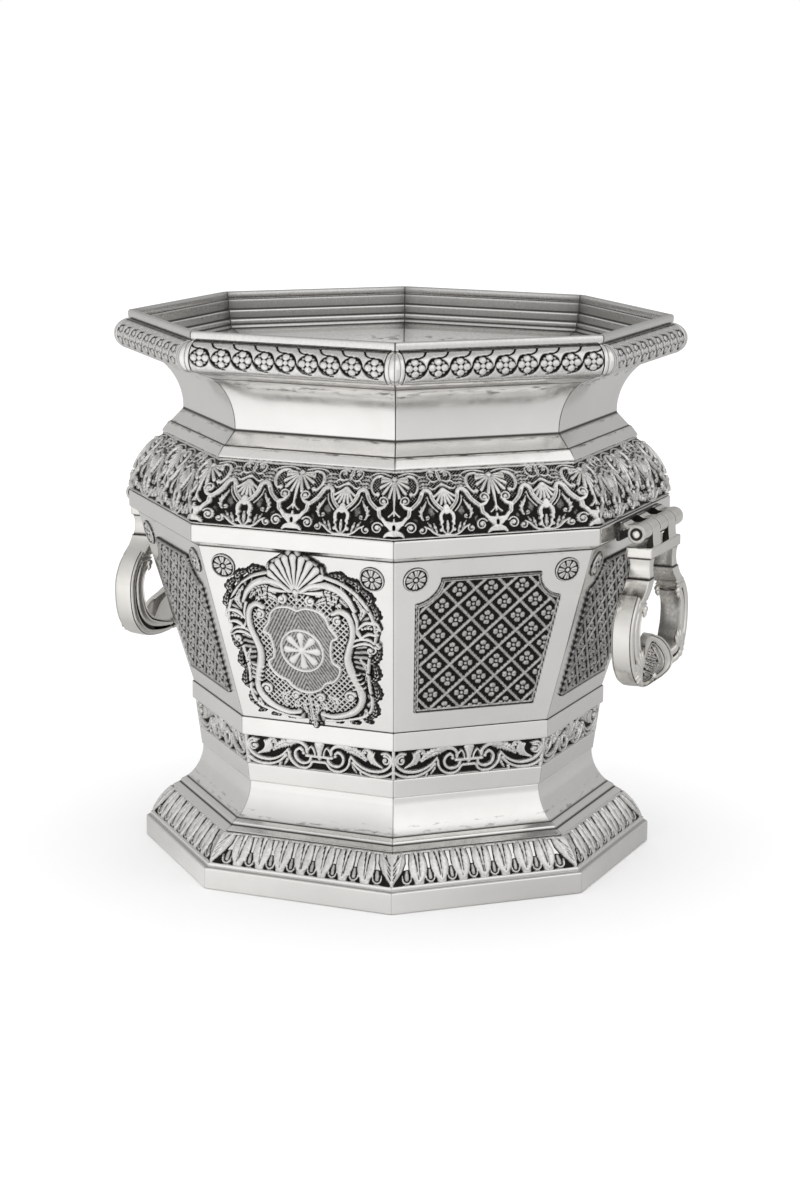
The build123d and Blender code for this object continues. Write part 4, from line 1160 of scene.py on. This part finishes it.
# ---------------------------------------------------------------- chased bands on every face
def chased_band(stem, line, height, step, relief):
    """A band of ornament along an upright line of every face, centred on the face."""
    u = (np.arange(height.shape[1]) - height.shape[1] // 2) * step
    mesh = chased_strip(stem, Surface(line), height, relief, u, dark_in(height, step, relief))
    on_every_face(stem, mesh, CHASED)


shoulder = shoulder_pattern()
cells = np.abs(np.arange(-2 * SHOULDER_CELLS, 2 * SHOULDER_CELLS + 1))
fold = np.minimum(cells, 2 * SHOULDER_CELLS - cells)
chased_band("shoulder_frieze", shoulder_line(), shoulder.height[:, fold], shoulder.step, SHOULDER_RELIEF)

scroll, leaves = scroll_pattern(), leaf_pattern()
scroll_line = [(SCROLL_FOOT_REACH, SCROLL_FOOT_Z), (SCROLL_REACH, SCROLL_HEAD_Z)]
chased_band("scroll_frieze", scroll_line, mirrored(scroll.height), scroll.step, SCROLL_RELIEF)
chased_band("leaf_band", leaf_line(), mirrored(leaves.height), leaves.step, LEAF_RELIEF)

# ---------------------------------------------------------------- rim: rosette castings and plain collars
rim = rim_pattern()
rim_surface = Surface(arc_points(*RIM_CENTRE, RIM_RADIUS, -100, 100, 80))
rim_height = np.minimum(rim.height, RIM_LEVEL + 0.09)
along = np.linspace(0, 1, len(rim_height))[:, None]
# Painted shade: the casting's half round is darkened towards its lower and upper edges.
rim_edge_shade = 0.75 * np.interp(along, [0.06, 0.10, 0.13, 0.17, 0.80, 0.86, 0.92, 1.0],
                             [0.2, 1, 1, 0, 0, 1, 0.8, 0.5])
for side, mirror in (("alternate", 1), ("other", -1)):
    height = rim_height[:, ::mirror]
    mesh = chased_strip(f"rim_{side}", rim_surface, height, RIM_LEVEL + 0.1, rim.u,
                        np.maximum(dark_in(height, rim.step, 1.6 * RIM_LEVEL, 0.6), rim_edge_shade),
                        mitred=False, backing=1.0)
    faces = [face for k, face in enumerate(FACES) if k % 2 == (mirror < 0)]
    on_every_face("rim_casting", mesh, CHASED, faces)


def rim_collars():
    """A plain length of the rim's half round on each side of every corner, with a bead at its end."""
    angles = np.radians(np.linspace(-101, 101, 29))
    # how far past the casting's end or short of the mitre, and how far above the half round
    stations = [(0.0, 0, -0.35), (0.25, 0, 0.0), (0.9, 0, 0.09), (1.5, 0, 0.0), (1.8, 0, -0.3),
                (2.1, 0, 0.0), (inf, 0.35, -0.10), (inf, 0, -0.25)]
    n = len(angles)
    points, faces, dark = [], [], []
    for azimuth in FACES.values():
        turn = radians(azimuth)
        for sign in (-1, 1):
            base = len(points)
            for past, short, lift in stations:
                for angle in angles:
                    radius = RIM_RADIUS - 0.1 + lift
                    reach = max(RIM_CENTRE[0] + radius * cos(angle), RIM_BACK)
                    z = RIM_CENTRE[1] + radius * sin(angle)
                    across = sign * min(RIM_HALF + past, reach * MITRE - short)
                    points.append((reach * cos(turn) - across * sin(turn),
                                   reach * sin(turn) + across * cos(turn), z))
                    dark.append(0.8 if lift < -0.2 else 0.0)
            for k in range(len(stations) - 1):
                for i in range(n):
                    a, b = base + k * n + i, base + k * n + (i + 1) % n
                    quad = [a, a + n, b + n, b]
                    faces.append(quad if sign > 0 else quad[::-1])
            first, last = list(range(base, base + n)), list(range(len(points) - n, len(points)))
            faces += [first, last[::-1]] if sign > 0 else [first[::-1], last]
    mesh = new_mesh("rim_collars", points, faces, dark, checked=True)
    place("rim_collars", mesh, PLAIN, "bucket")


rim_collars()

# ---------------------------------------------------------------- applied ornament on the panels
diaper = diaper_pattern()
diaper_dark = np.clip(0.2 + dark_in(diaper.height, diaper.step, 1.1), 0, 1)
diaper_mesh = masked_relief("diaper_panel", diaper.height, diaper.u, diaper.s, DIAPER_GROUND, -0.5,
                            diaper_dark)
diaper_faces = [face for face in FACES if face not in CARTOUCHE_FACES]
on_every_face("diaper_panel", diaper_mesh, CHASED, diaper_faces)

cartouche, cartouche_dark = cartouche_pattern()
cartouche_height = mirrored(cartouche.height)
cartouche_u = np.linspace(-CARTOUCHE_HALF, CARTOUCHE_HALF, cartouche_height.shape[1])
cartouche_mesh = masked_relief("cartouche", cartouche_height, cartouche_u, cartouche.s, -0.9, -0.9,
                               mirrored(cartouche_dark))
on_every_face("cartouche", cartouche_mesh, CHASED, CARTOUCHE_FACES)

patera = patera_pattern()
patera_dark = dark_in(patera.height, patera.step, 1.5, 0.6)


def all_paterae():
    """Two small bosses on each of the eight faces, as one piece."""
    work = bmesh.new()
    for azimuth in FACES.values():
        for side in (-1, 1):
            mesh = masked_relief("patera", patera.height, patera.u + side * PATERA_OFFSET,
                                 patera.s + PATERA_UP, -0.5, -0.45, patera_dark)
            mesh.transform(Matrix.Rotation(radians(azimuth), 4, "Z"))
            work.from_mesh(mesh)
            bpy.data.meshes.remove(mesh)
    joined = bpy.data.meshes.new("paterae")
    work.to_mesh(joined)
    work.free()
    joined.shade_smooth()
    place("paterae", joined, CHASED, "bucket")


all_paterae()

# ---------------------------------------------------------------- handles and hinges
PIN_X, PIN_Z = 115.2, 148.0
PIN_RADIUS, PIN_SHADE_RADIUS, KNUCKLE_RADIUS = 1.8, 2.6, 3.8
HINGE_HALF = box_mm("hinge_leaf_right")[1].y
KNUCKLE = 2 * HINGE_HALF / 5
BAIL_GAP, LEAF_GAP = 0.25, 0.12        # how much shorter each end of a knuckle is
BAIL_BACK, BAIL_FRONT = 109.5, 118.5


class Casting:
    """Closed shapes gathered into one mesh on the right-hand side, with tarnish and painted shade on their
    points.
    """

    def __init__(self):
        self.points, self.faces, self.dark, self.flat = [], [], [], []

    def rings(self, rings, shades):
        """Join a row of equal rings of points into a closed shape."""
        n, base = len(rings[0]), len(self.points)
        for ring, shade in zip(rings, shades):
            self.points += [tuple(p) for p in ring]
            self.dark += list(np.broadcast_to(shade, n))
        for k in range(len(rings) - 1):
            a = base + k * n
            self.faces += [[a + i, a + (i + 1) % n, a + n + (i + 1) % n, a + n + i] for i in range(n)]
        last = base + (len(rings) - 1) * n
        for cap in (list(range(base, base + n))[::-1], list(range(last, last + n))):
            self.flat.append(len(self.faces))
            self.faces.append(cap)

    def slab(self, outline, low, high, place_point, bevel, corner, shade=0.0, ends=(0, 0)):
        """An outline given thickness, with every edge rounded; ends darkens the two end edges with painted
        shade.
        """
        edge, crease = rounded(outline, corner)
        inward = -loop_normals(edge)
        area = np.sum(edge[:, 0] * np.roll(edge[:, 1], -1) - np.roll(edge[:, 0], -1) * edge[:, 1])
        inward *= np.sign(area)
        steps = [(bevel * (1 - cos(t)), bevel * (1 - sin(t))) for t in np.radians([0, 30, 60, 90])]
        if high - low > 2.6 * (bevel + 0.4):
            steps.append((bevel + 0.4, 0.0))
        stations = [(low + along, inset) for along, inset in steps]
        stations += [(high - along, inset) for along, inset in reversed(steps)]
        rings = [place_point(edge + inset * inward, at) for at, inset in stations]
        shades = []
        for at, inset in stations:
            end = ends[0] if at < (low + high) / 2 else ends[1]
            shades.append(np.maximum(crease, max(shade, end if inset > 0.2 * bevel else 0.0)))
        self.rings(rings, shades)

    def tube(self, path, section, place_point):
        """A section, given by how far along the path it stands, swept down a path in one plane."""
        heading = np.gradient(path, axis=0)
        heading /= np.hypot(*heading.T)[:, None]
        side = np.stack([-heading[:, 1], heading[:, 0]], axis=1)
        runs = np.concatenate([[0], np.cumsum(np.hypot(*np.diff(path, axis=0).T))])
        rings, shades = [], []
        for p, n, along in zip(path, side, runs / runs[-1]):
            loop, dark = section(along)
            rings.append(place_point(p + loop[:, :1] * n, loop[:, 1]))
            shades.append(dark)
        self.rings(rings, shades)

    def bead(self, centre, radii, shade=0.0):
        """A small rounded boss."""
        rings = []
        a = np.linspace(0, 2 * pi, 18, endpoint=False)
        for t in np.linspace(0.06, pi - 0.06, 12):
            rings.append(np.stack([centre[0] + radii[0] * cos(t) + 0 * a,
                                   centre[1] + radii[1] * sin(t) * np.cos(a),
                                   centre[2] + radii[2] * sin(t) * np.sin(a)], axis=1))
        self.rings(rings, [shade] * len(rings))

    def mesh(self, name):
        mesh = new_mesh(name, self.points, self.faces, self.dark)
        mesh.set_sharp_from_angle(angle=CASTING_SHARP)
        for k in self.flat:
            mesh.polygons[k].use_smooth = False
        work = bmesh.new()
        work.from_mesh(mesh)
        bmesh.ops.recalc_face_normals(work, faces=work.faces)
        work.to_mesh(mesh)
        work.free()
        return mesh


def across_x(points, x):
    """Points of a (y, z) outline at a depth x."""
    return np.stack([np.broadcast_to(x, len(points)), points[:, 0], points[:, 1]], axis=1)


def across_y(points, y):
    """Points of an (x, z) outline at a place y."""
    return np.stack([points[:, 0], np.broadcast_to(y, len(points)), points[:, 1]], axis=1)


def flip(points, sign):
    return [(sign * y, z) for y, z in points]


INNER_PAINTED_SHADE = 0.37                   # painted shade: the handle's inner sides, which face each other, are darkened for the shade and dim reflections between them


def reeded_section(width, depth):
    """A scroll's section: smooth broad sides; front and back faces carry two reeds between fillets."""
    half = width / 2
    a = np.linspace(-1, 1, 49)
    reeds = np.zeros(len(a))
    for centre, reach in ((-0.97, 0.07), (-0.40, 0.43), (0.68, 0.32)):
        reeds = np.maximum(reeds, np.clip(1 - np.abs((a - centre) / reach) ** 3, 0, 1) ** 0.5)
    dark = np.clip(1.0 - 1.7 * reeds, 0, 1)
    face = depth / 2 - 1.2 + 1.2 * reeds
    front = np.stack([a * half, face], axis=1)
    back = np.stack([a[::-1] * half, -face[::-1]], axis=1)
    rise = np.linspace(1, -1, 11)[1:-1]
    right = np.stack([half + 0.3 * (1 - rise ** 4), rise * (depth / 2 - 0.3)], axis=1)
    left = np.stack([-half - 0.3 * (1 - rise ** 4), -rise * (depth / 2 - 0.3)], axis=1)
    loop = np.vstack([front, right, back, left])
    # The scroll's inner side takes painted shade.
    shade = np.concatenate([dark, np.zeros(len(right)), dark[::-1], np.full(len(left), INNER_PAINTED_SHADE)])
    return loop, shade


def bail_scroll(casting, sign):
    """One C scroll, from the collar down and round to the cusp at the middle."""
    path = smooth(flip([(24.4, 119.6), (28.6, 115.8), (31.4, 110.8), (31.8, 105.0), (30.4, 98.6),
                        (26.6, 92.6), (20.6, 88.6), (13.0, 86.6), (6.0, 85.6), (0.4, 85.2)], sign), 8)
    middle, back = (BAIL_BACK + BAIL_FRONT) / 2, 4.6

    def section(along):
        width = np.interp(along, [0, 0.2, 0.45, 0.7, 1.0], [8.6, 10.4, 10.8, 7.4, 3.6])
        front = np.interp(along, [0, 0.1, 0.6, 0.68, 0.78, 1.0], [4.2, 4.6, 4.8, 2.6, 0.2, -0.5])
        loop, shade = reeded_section(width, front + back)
        return (loop + [0, (front - back) / 2]) * np.array([sign, 1]), shade

    casting.tube(path, section, lambda p, b: across_x(p, middle + b))


def leaflet(casting, path, width, x, shade=0.1):
    """A small raised leaf or curl lying on the front of the casting."""
    line = smooth(path, 5)

    def section(along):
        a = np.linspace(0, 2 * pi, 14, endpoint=False)
        swell = 0.12 + np.sin(pi * min(1, 0.12 + 0.95 * along)) ** 0.6
        return 0.5 * width * swell * np.stack([np.cos(a), 0.9 * np.sin(a)], axis=1), np.full(14, shade)

    casting.tube(line, section, lambda p, b: across_x(p, x + b))


ARM_CORNER = 0.6                       # radius of the arm's edges
# The arm from the bar down: height, inner and outer sides, back and front faces, how dark (painted shade
# under the bar and in the undercut above the splayed foot, and darker at the collar).
ARM = [(139.0, 11.8, 18.7, 109.5, 119.4, 0.3), (137.1, 11.8, 18.7, 109.5, 119.4, 0.9),
       (136.8, 12.0, 18.4, 109.8, 119.1, 0.9), (136.3, 12.0, 18.3, 109.8, 119.1, 0.1),
       (134.5, 12.5, 17.5, 110.0, 118.9, 0.0), (132.0, 12.6, 17.4, 110.0, 118.9, 0.0),
       (129.5, 12.3, 18.0, 109.9, 119.0, 0.1), (128.6, 12.2, 18.6, 109.8, 119.0, 0.8),
       (128.3, 12.0, 19.4, 109.3, 119.3, 0.8), (127.6, 12.0, 19.6, 109.2, 119.3, 0.0),
       (126.4, 12.9, 20.6, 109.2, 119.3, 0.0), (124.4, 14.7, 22.4, 109.0, 119.3, 0.0),
       (122.6, 16.9, 25.0, 109.0, 119.3, 0.0), (121.6, 18.3, 26.8, 109.0, 119.3, 0.1),
       (121.2, 18.8, 27.4, 109.2, 119.0, 0.6), (120.4, 20.0, 28.4, 109.2, 119.0, 0.3),
       (118.6, 21.4, 29.2, 109.5, 118.6, 0.2), (116.5, 23.0, 30.0, 110.4, 118.0, 0.0)]


def bail_arm(casting, sign):
    """The square upright arm: block, hollow, splayed foot, collar and curls."""
    corner = np.linspace(0, pi / 2, 5)
    inside = np.array([0] * 7 + [1] * 6 + [0] * 7)
    rings, shades = [], []
    for z, inner, outer, back, front, shade in ARM:
        loop = []
        for y, x, turn in ((outer, front, 0), (inner, front, 1), (inner, back, 2), (outer, back, 3)):
            centre_y = y - ARM_CORNER if y == outer else y + ARM_CORNER
            centre_x = x - ARM_CORNER if x == front else x + ARM_CORNER
            for t in corner + turn * pi / 2:
                loop.append((centre_x + ARM_CORNER * sin(t), sign * (centre_y + ARM_CORNER * cos(t)), z))
        rings.append(np.array(loop))
        # The arm's inner sides take painted shade.
        shades.append(np.maximum(shade, INNER_PAINTED_SHADE * inside))
    casting.rings(rings, shades)
    for z, inner, outer, swell in ((121.0, 18.6, 27.9, 1.1), (119.0, 19.9, 29.0, 1.0)):
        for x in (BAIL_BACK, BAIL_FRONT):
            casting.bead((x, sign * (inner + outer) / 2, z), (swell, (outer - inner) / 2 + 0.6, 0.85),
                         0.1)
    for x in (BAIL_BACK, BAIL_FRONT):  # the curl under the collar
        casting.bead((x, sign * 21.4, 117.0), (1.3, 1.7, 1.4), 0.15)
        leaflet(casting, flip([(22.6, 117.2), (21.9, 115.4), (22.4, 113.4)], sign), 2.2, x)
    leaves = [(20.6, 98.0), (23.2, 100.2), (26.6, 100.6), (30.0, 99.0), (32.4, 96.0), (32.6, 92.4),
              (31.0, 89.4), (28.0, 87.0)]
    for k, tip in enumerate(leaves):   # leaf spray where the scroll turns under
        root = (24.6 + 0.2 * k, 92.6 - 0.3 * k)
        middle = (0.5 * (root[0] + tip[0]) - 0.3, 0.5 * (root[1] + tip[1]) + 0.3)
        leaflet(casting, flip([root, middle, tip], sign), 2.6, BAIL_FRONT - 0.2, 0.1)
        leaflet(casting, flip([middle, (tip[0] - 0.8, tip[1] + 0.9)], sign), 1.3, BAIL_FRONT + 0.3, 0.3)


# The boss's egg-shaped frame, right half, from the top round to the cusp: (x, y, z) of its outer
# and inner edges.
FRAME_OUTER = [(113.9, 0, 102.2), (114.3, 6, 100.5), (115.6, 11.2, 98.4), (116.9, 15.6, 94.8),
               (117.4, 18.9, 91.2),
               (117.7, 20.4, 86.9), (117.2, 17.5, 83.6), (116.5, 11, 82.1), (116.3, 5, 81.8),
               (116.2, 0, 81.8)]
FRAME_INNER = [(114.8, 0, 98.3), (115.0, 4, 97.0), (115.1, 7.5, 95.1), (115.3, 11, 92.7),
               (115.6, 14, 89.4),
               (115.6, 15, 86.8), (115.4, 12.5, 84.5), (115.2, 7, 83.7), (115.1, 3, 83.7),
               (115.1, 0, 83.8)]
# How far in from the outer edge to the inner, how high, how dark.
FRAME_PROFILE = [(0.0, -0.5, 0.0), (0.05, 0.1, 0.0), (0.14, 0.25, 0.0), (0.2, -0.05, 0.5),
                 (0.23, -0.5, 1.0),
                 (0.27, -0.05, 0.4), (0.36, -0.15, 0.0), (0.5, -0.35, 0.0), (0.65, -0.3, 0.0),
                 (0.8, 0.1, 0.0),
                 (0.88, 0.2, 0.1), (0.93, -0.5, 0.9), (0.97, -1.1, 1.0), (1.02, -0.4, 0.6),
                 (1.08, 0.2, 0.0), (1.16, 0.2, 0.0), (1.22, -0.6, 0.8)]


def whole_loop(half):
    """A closed smooth loop through a right-half outline and its mirror image."""
    corners = np.array(half + [(x, -y, z) for x, y, z in half[-2:0:-1]], float)
    n, count = len(corners), 160
    at = np.arange(count) * n / count
    k, t = at.astype(int), (at % 1)[:, None]
    p, q, r, w = (corners[(k + shift) % n] for shift in (-1, 0, 1, 2))
    return catmull_rom(p, q, r, w, t)


def bail_boss(casting):
    """The boss: an egg-shaped moulded frame round a leaf-chased swelling, with a cusp below."""
    outer, inner = whole_loop(FRAME_OUTER), whole_loop(FRAME_INNER)
    n = len(outer)
    back_x, back_z = 110.6, 91.5
    rings = [np.stack([np.full(n, back_x), 0.8 * outer[:, 1], back_z + 0.8 * (outer[:, 2] - back_z)],
                      axis=1), outer * [1, 0.97, 1] - [3.0, 0, 0]]
    shades = [np.zeros(n), np.zeros(n)]
    for inward, height, dark in FRAME_PROFILE:
        rings.append(outer + (inner - outer) * inward + np.array([height, 0, 0.3 * height]))
        shades.append(np.full(n, dark))
    half_width, foot = 16, -8.5
    r = Relief(-half_width, half_width, foot, 9, 190)
    for side in (-1, 1):
        for k in range(6):
            root, reach = -7.4 + 2.2 * k, 14.0 - 1.3 * k
            r.line([(0.2 * side, root), (side * 0.45 * reach, root + 0.6), (side * reach, root + 3.4)],
                   [1.2, 2.8, 1.6], 1.1, "leaf")
            r.line([(side * 0.3 * reach, root + 1.2), (side * 0.75 * reach, root + 3.8)],
                   [1.6, 1.2], 1.2, "leaf")
    r.line([(0, -8), (0, 8)], [1.6, 0.9], 1.0)
    chased = np.clip(0.1 + 1.2 * dark_in(r.height, r.step, 0.8, 0.5), 0, 1)
    heart_z = 90.6
    edge, heart = rings[-1], np.array([115.3, 0, heart_z])
    for part in np.linspace(0.98, 0.02, 44):
        p = heart + (edge - heart) * part
        i = np.clip(((p[:, 2] - heart_z - foot) / r.step).astype(int), 0, r.height.shape[0] - 1)
        j = np.clip(((p[:, 1] + half_width) / r.step).astype(int), 0, r.height.shape[1] - 1)
        p[:, 0] += 2.2 * (1 - part ** 2) - 0.5 * part + r.height[i, j]
        rings.append(p)
        shades.append(chased[i, j])
    casting.rings(rings, shades)
    casting.bead((115.8, 0, 84.4), (1.4, 1.3, 1.5))
    leaflet(casting, [(0, 84.6), (0.1, 83.2), (0, 81.9)], 1.0, 116.5, 0.7)


def make_bail():
    """The drop handle: top bar with two hinge knuckles, arms, scrolls and boss."""
    casting = Casting()
    bar = [(-19.0, 137.0), (19.0, 137.0), (19.0, 141.5), (-19.0, 141.5)]
    casting.slab(bar, 109.0, 120.0, across_x, 0.6, 0.6)
    for sign in (-1, 1):
        bail_arm(casting, sign)
        bail_scroll(casting, sign)
    bail_boss(casting)
    for y in (-KNUCKLE, KNUCKLE):
        knuckle = arc_corners(PIN_X, PIN_Z, KNUCKLE_RADIUS, 12, 300, 36)
        outline = knuckle + [(116.4, 143.8), (116.2, 141.0), (119.6, 141.0), (119.2, 143.6),
                             (119.0, 147.0)]
        low, high = y - KNUCKLE / 2 + BAIL_GAP, y + KNUCKLE / 2 - BAIL_GAP
        # Painted shade on both ends of each knuckle, for the dark gaps between the knuckles.
        casting.slab(outline, low, high, across_y, 0.45, 0.6, ends=(1, 1))
    return casting.mesh("bail")


def make_hinge_leaf():
    """The fixed half of the hinge: a plate on the band, dark all over as a painted shadow behind the
    hinge, and three straps that curl over the pin.
    """
    casting = Casting()
    plate = [(-HINGE_HALF, 144.6), (HINGE_HALF, 144.6), (HINGE_HALF, 152.6), (-HINGE_HALF, 152.6)]
    # Painted shadow: the plate is dark all over, for the shade behind the hinge seen through the gap under
    # the barrel.
    casting.slab(plate, BAND_REACH - 0.2, BAND_REACH + 1.4, across_x, 0.35, 0.5, 0.8)
    for y in (-2 * KNUCKLE, 0, 2 * KNUCKLE):
        curl = arc_corners(PIN_X, PIN_Z, KNUCKLE_RADIUS, 96, -222, 40)
        strap = [(110.8, 149.5), (109.2, 149.0), (107.4, 149.2), (107.4, 152.6), (109.4, 152.4),
                 (111.2, 151.4), (113.0, 151.5)]
        low, high = y - KNUCKLE / 2 + LEAF_GAP, y + KNUCKLE / 2 - LEAF_GAP
        # Painted shade on the straps' ends: full at the gaps between knuckles, lighter at the hinge's
        # outer ends.
        painted_shade_ends = (0.4 if y < 0 else 1, 0.4 if y > 0 else 1)
        casting.slab(curl + strap, low, high, across_y, 0.4, 0.5, ends=painted_shade_ends)
    for end in (-1, 1):                # painted shade: a thin dark disc round the pin's end, for the gap round the pin
        pin_shade_disc = arc_corners(PIN_X, PIN_Z, PIN_SHADE_RADIUS, 0, 345, 24)
        y = end * HINGE_HALF
        casting.slab(pin_shade_disc, y - 0.15, y + 0.02, across_y, 0.05, 0.1, 1.0)
    return casting.mesh("hinge_leaf")


def make_hinge_pin():
    """The pin, with its peened ends."""
    casting = Casting()
    end = [(0.97, 1.0), (0.985, 0.96), (0.995, 0.8), (1.0, 0.35)]
    stations = [(-y, r) for y, r in reversed(end)] + end
    angles = np.linspace(0, 2 * pi, 28, endpoint=False)
    rings = [np.stack([PIN_X + PIN_RADIUS * r * np.cos(angles), np.full(28, y * (HINGE_HALF + 0.3)),
                       PIN_Z + PIN_RADIUS * r * np.sin(angles)], axis=1) for y, r in stations]
    casting.rings(rings, [0.0] * len(rings))
    return casting.mesh("hinge_pin")


for stem, mesh, body in (("bail", make_bail(), "handle"), ("hinge_leaf", make_hinge_leaf(), "bucket"),
                         ("hinge_pin", make_hinge_pin(), "bucket")):
    for side, azimuth in (("right", 0), ("left", 180)):
        rides = f"handle_{side}" if body == "handle" else body
        place(f"{stem}_{side}", turned_copy(mesh, azimuth), HANDLE, rides)

# ---------------------------------------------------------------- CAD pieces kept as they are
floor_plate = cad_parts["floor_plate"]
floor_plate.data.materials.clear()
floor_plate.data.materials.append(PLAIN)


# ---------------------------------------------------------------- camera, floor and light
CAMERA_AZIMUTH, CAMERA_ELEVATION, CAMERA_ROLL = -66.549, 11.749, 0.44
CAMERA_DISTANCE, CAMERA_TARGET = 1.16997, (0.01785, -0.03936, 0.115)
LENS = 84.70
FLOOR_REACH, FLOOR_Z, FLOOR_SIDES = 30.0, -0.00002, 64
# What the silver mirrors, by compass direction: (azimuth, grey). The bucket faces a white room
# with a dimmer one behind it.
FLOOR_GREYS = [(-180, 0.56), (-113.5, 0.86), (-66.5, 0.74), (-23.5, 0.58), (66.5, 0.42), (113.5, 0.42),
               (156.5, 0.47), (180, 0.56)]
LOW_GREYS = [(-180, 0.66), (-113.5, 0.98), (-66.5, 0.86), (-23.5, 0.96), (66.5, 0.47), (113.5, 0.35),
             (156.5, 0.55), (180, 0.66)]
HIGH_GREYS = [(-180, 0.62), (-113.5, 0.78), (-66.5, 0.88), (-23.5, 1.08), (66.5, 0.62), (113.5, 0.42),
              (156.5, 0.55), (180, 0.62)]
CEILING_GREY = 0.52
CLIMB_BAND, CEILING_BAND = (15, 48), (55, 76)      # degrees up, over which one grey gives way to the next
DIFFUSE_LIGHT = 1.25


def add_camera():
    data = bpy.data.cameras.new("main_camera")
    data.lens = LENS
    data.clip_start, data.clip_end = 0.05, 20
    camera = bpy.data.objects.new("main_camera", data)
    bpy.context.scene.collection.objects.link(camera)
    azimuth, elevation = radians(CAMERA_AZIMUTH), radians(CAMERA_ELEVATION)
    back = Vector((cos(azimuth) * cos(elevation), sin(azimuth) * cos(elevation), sin(elevation)))
    turn = back.to_track_quat("Z", "Y").to_matrix().to_4x4() @ Matrix.Rotation(radians(CAMERA_ROLL), 4,
                                                                               "Z")
    camera.matrix_world = Matrix.Translation(Vector(CAMERA_TARGET) + back * CAMERA_DISTANCE) @ turn
    bpy.context.scene.camera = camera


def direction_ramp(tree, where, stops):
    """A grey that changes with the compass direction; stops are (azimuth in degrees, grey)."""
    compass = tree.nodes.new("ShaderNodeTexGradient")
    compass.gradient_type = "RADIAL"
    tree.links.new(where, compass.inputs["Vector"])
    ramp_node = tree.nodes.new("ShaderNodeValToRGB")
    ramp_node.color_ramp.interpolation = "EASE"
    elements = ramp_node.color_ramp.elements
    while len(elements) < len(stops):
        elements.new(0.5)
    for element, (azimuth, grey) in zip(elements, sorted(stops)):
        element.position = azimuth / 360 + 0.5
        element.color = (grey, grey, grey, 1)
    tree.links.new(compass.outputs["Fac"], ramp_node.inputs["Fac"])
    return ramp_node.outputs["Color"]


def add_floor():
    """A large pale floor, white to the eye and softly graded in the silver's reflections."""
    points, faces = [(0, 0, FLOOR_Z)], []
    for k in range(FLOOR_SIDES):
        turn = 2 * pi * k / FLOOR_SIDES
        points.append((FLOOR_REACH * cos(turn), FLOOR_REACH * sin(turn), FLOOR_Z))
        faces.append([0, k + 1, (k + 1) % FLOOR_SIDES + 1])
    mesh = bpy.data.meshes.new("floor")
    mesh.from_pydata(points, [], faces)
    floor = bpy.data.objects.new("floor", mesh)
    bpy.context.scene.collection.objects.link(floor)
    material, tree, shader = shader_nodes("pale_floor")
    shader.inputs["Roughness"].default_value = 0.9
    shader.inputs["Specular IOR Level"].default_value = 0.0
    where = tree.nodes.new("ShaderNodeTexCoord").outputs["Object"]
    card = direction_ramp(tree, where, FLOOR_GREYS)
    glossy = tree.nodes.new("ShaderNodeLightPath").outputs["Is Glossy Ray"]
    tree.links.new(blend_colour(tree, glossy, (0.95, 0.95, 0.95), card), shader.inputs["Base Color"])
    mesh.materials.append(material)


def add_world():
    """Soft white light all round, with darker surroundings behind the bucket for the silver to mirror."""
    world = bpy.data.worlds.new("studio")
    bpy.context.scene.world = world
    world.use_nodes = True
    tree = world.node_tree
    tree.nodes.clear()
    output = tree.nodes.new("ShaderNodeOutputWorld")
    where = tree.nodes.new("ShaderNodeTexCoord").outputs["Generated"]
    parts = tree.nodes.new("ShaderNodeSeparateXYZ")
    tree.links.new(where, parts.inputs["Vector"])
    low, high = (direction_ramp(tree, where, stops) for stops in (LOW_GREYS, HIGH_GREYS))
    climb, overhead = (remap(tree, parts.outputs["Z"], sin(radians(start)), sin(radians(end)), 0, 1)
                       for start, end in (CLIMB_BAND, CEILING_BAND))
    mirrored_room = blend_colour(tree, overhead, blend_colour(tree, climb, low, high),
                                 (CEILING_GREY,) * 3)
    shaders = []
    for colour, strength in ((mirrored_room, 1.0), ((1, 1, 1), 1.0), ((1, 1, 1), DIFFUSE_LIGHT)):
        node = tree.nodes.new("ShaderNodeBackground")
        if isinstance(colour, tuple):
            node.inputs["Color"].default_value = (*colour, 1)
        else:
            tree.links.new(colour, node.inputs["Color"])
        node.inputs["Strength"].default_value = strength
        shaders.append(node.outputs["Background"])
    room, backdrop, light = shaders
    path = tree.nodes.new("ShaderNodeLightPath")
    shown = light
    for ray, shader in (("Is Camera Ray", backdrop), ("Is Glossy Ray", room)):
        pick = tree.nodes.new("ShaderNodeMixShader")
        tree.links.new(path.outputs[ray], pick.inputs["Fac"])
        tree.links.new(shown, pick.inputs[1])
        tree.links.new(shader, pick.inputs[2])
        shown = pick.outputs["Shader"]
    tree.links.new(shown, output.inputs["Surface"])


add_camera()
add_floor()
add_world()
bpy.context.scene.view_settings.view_transform = "Standard"
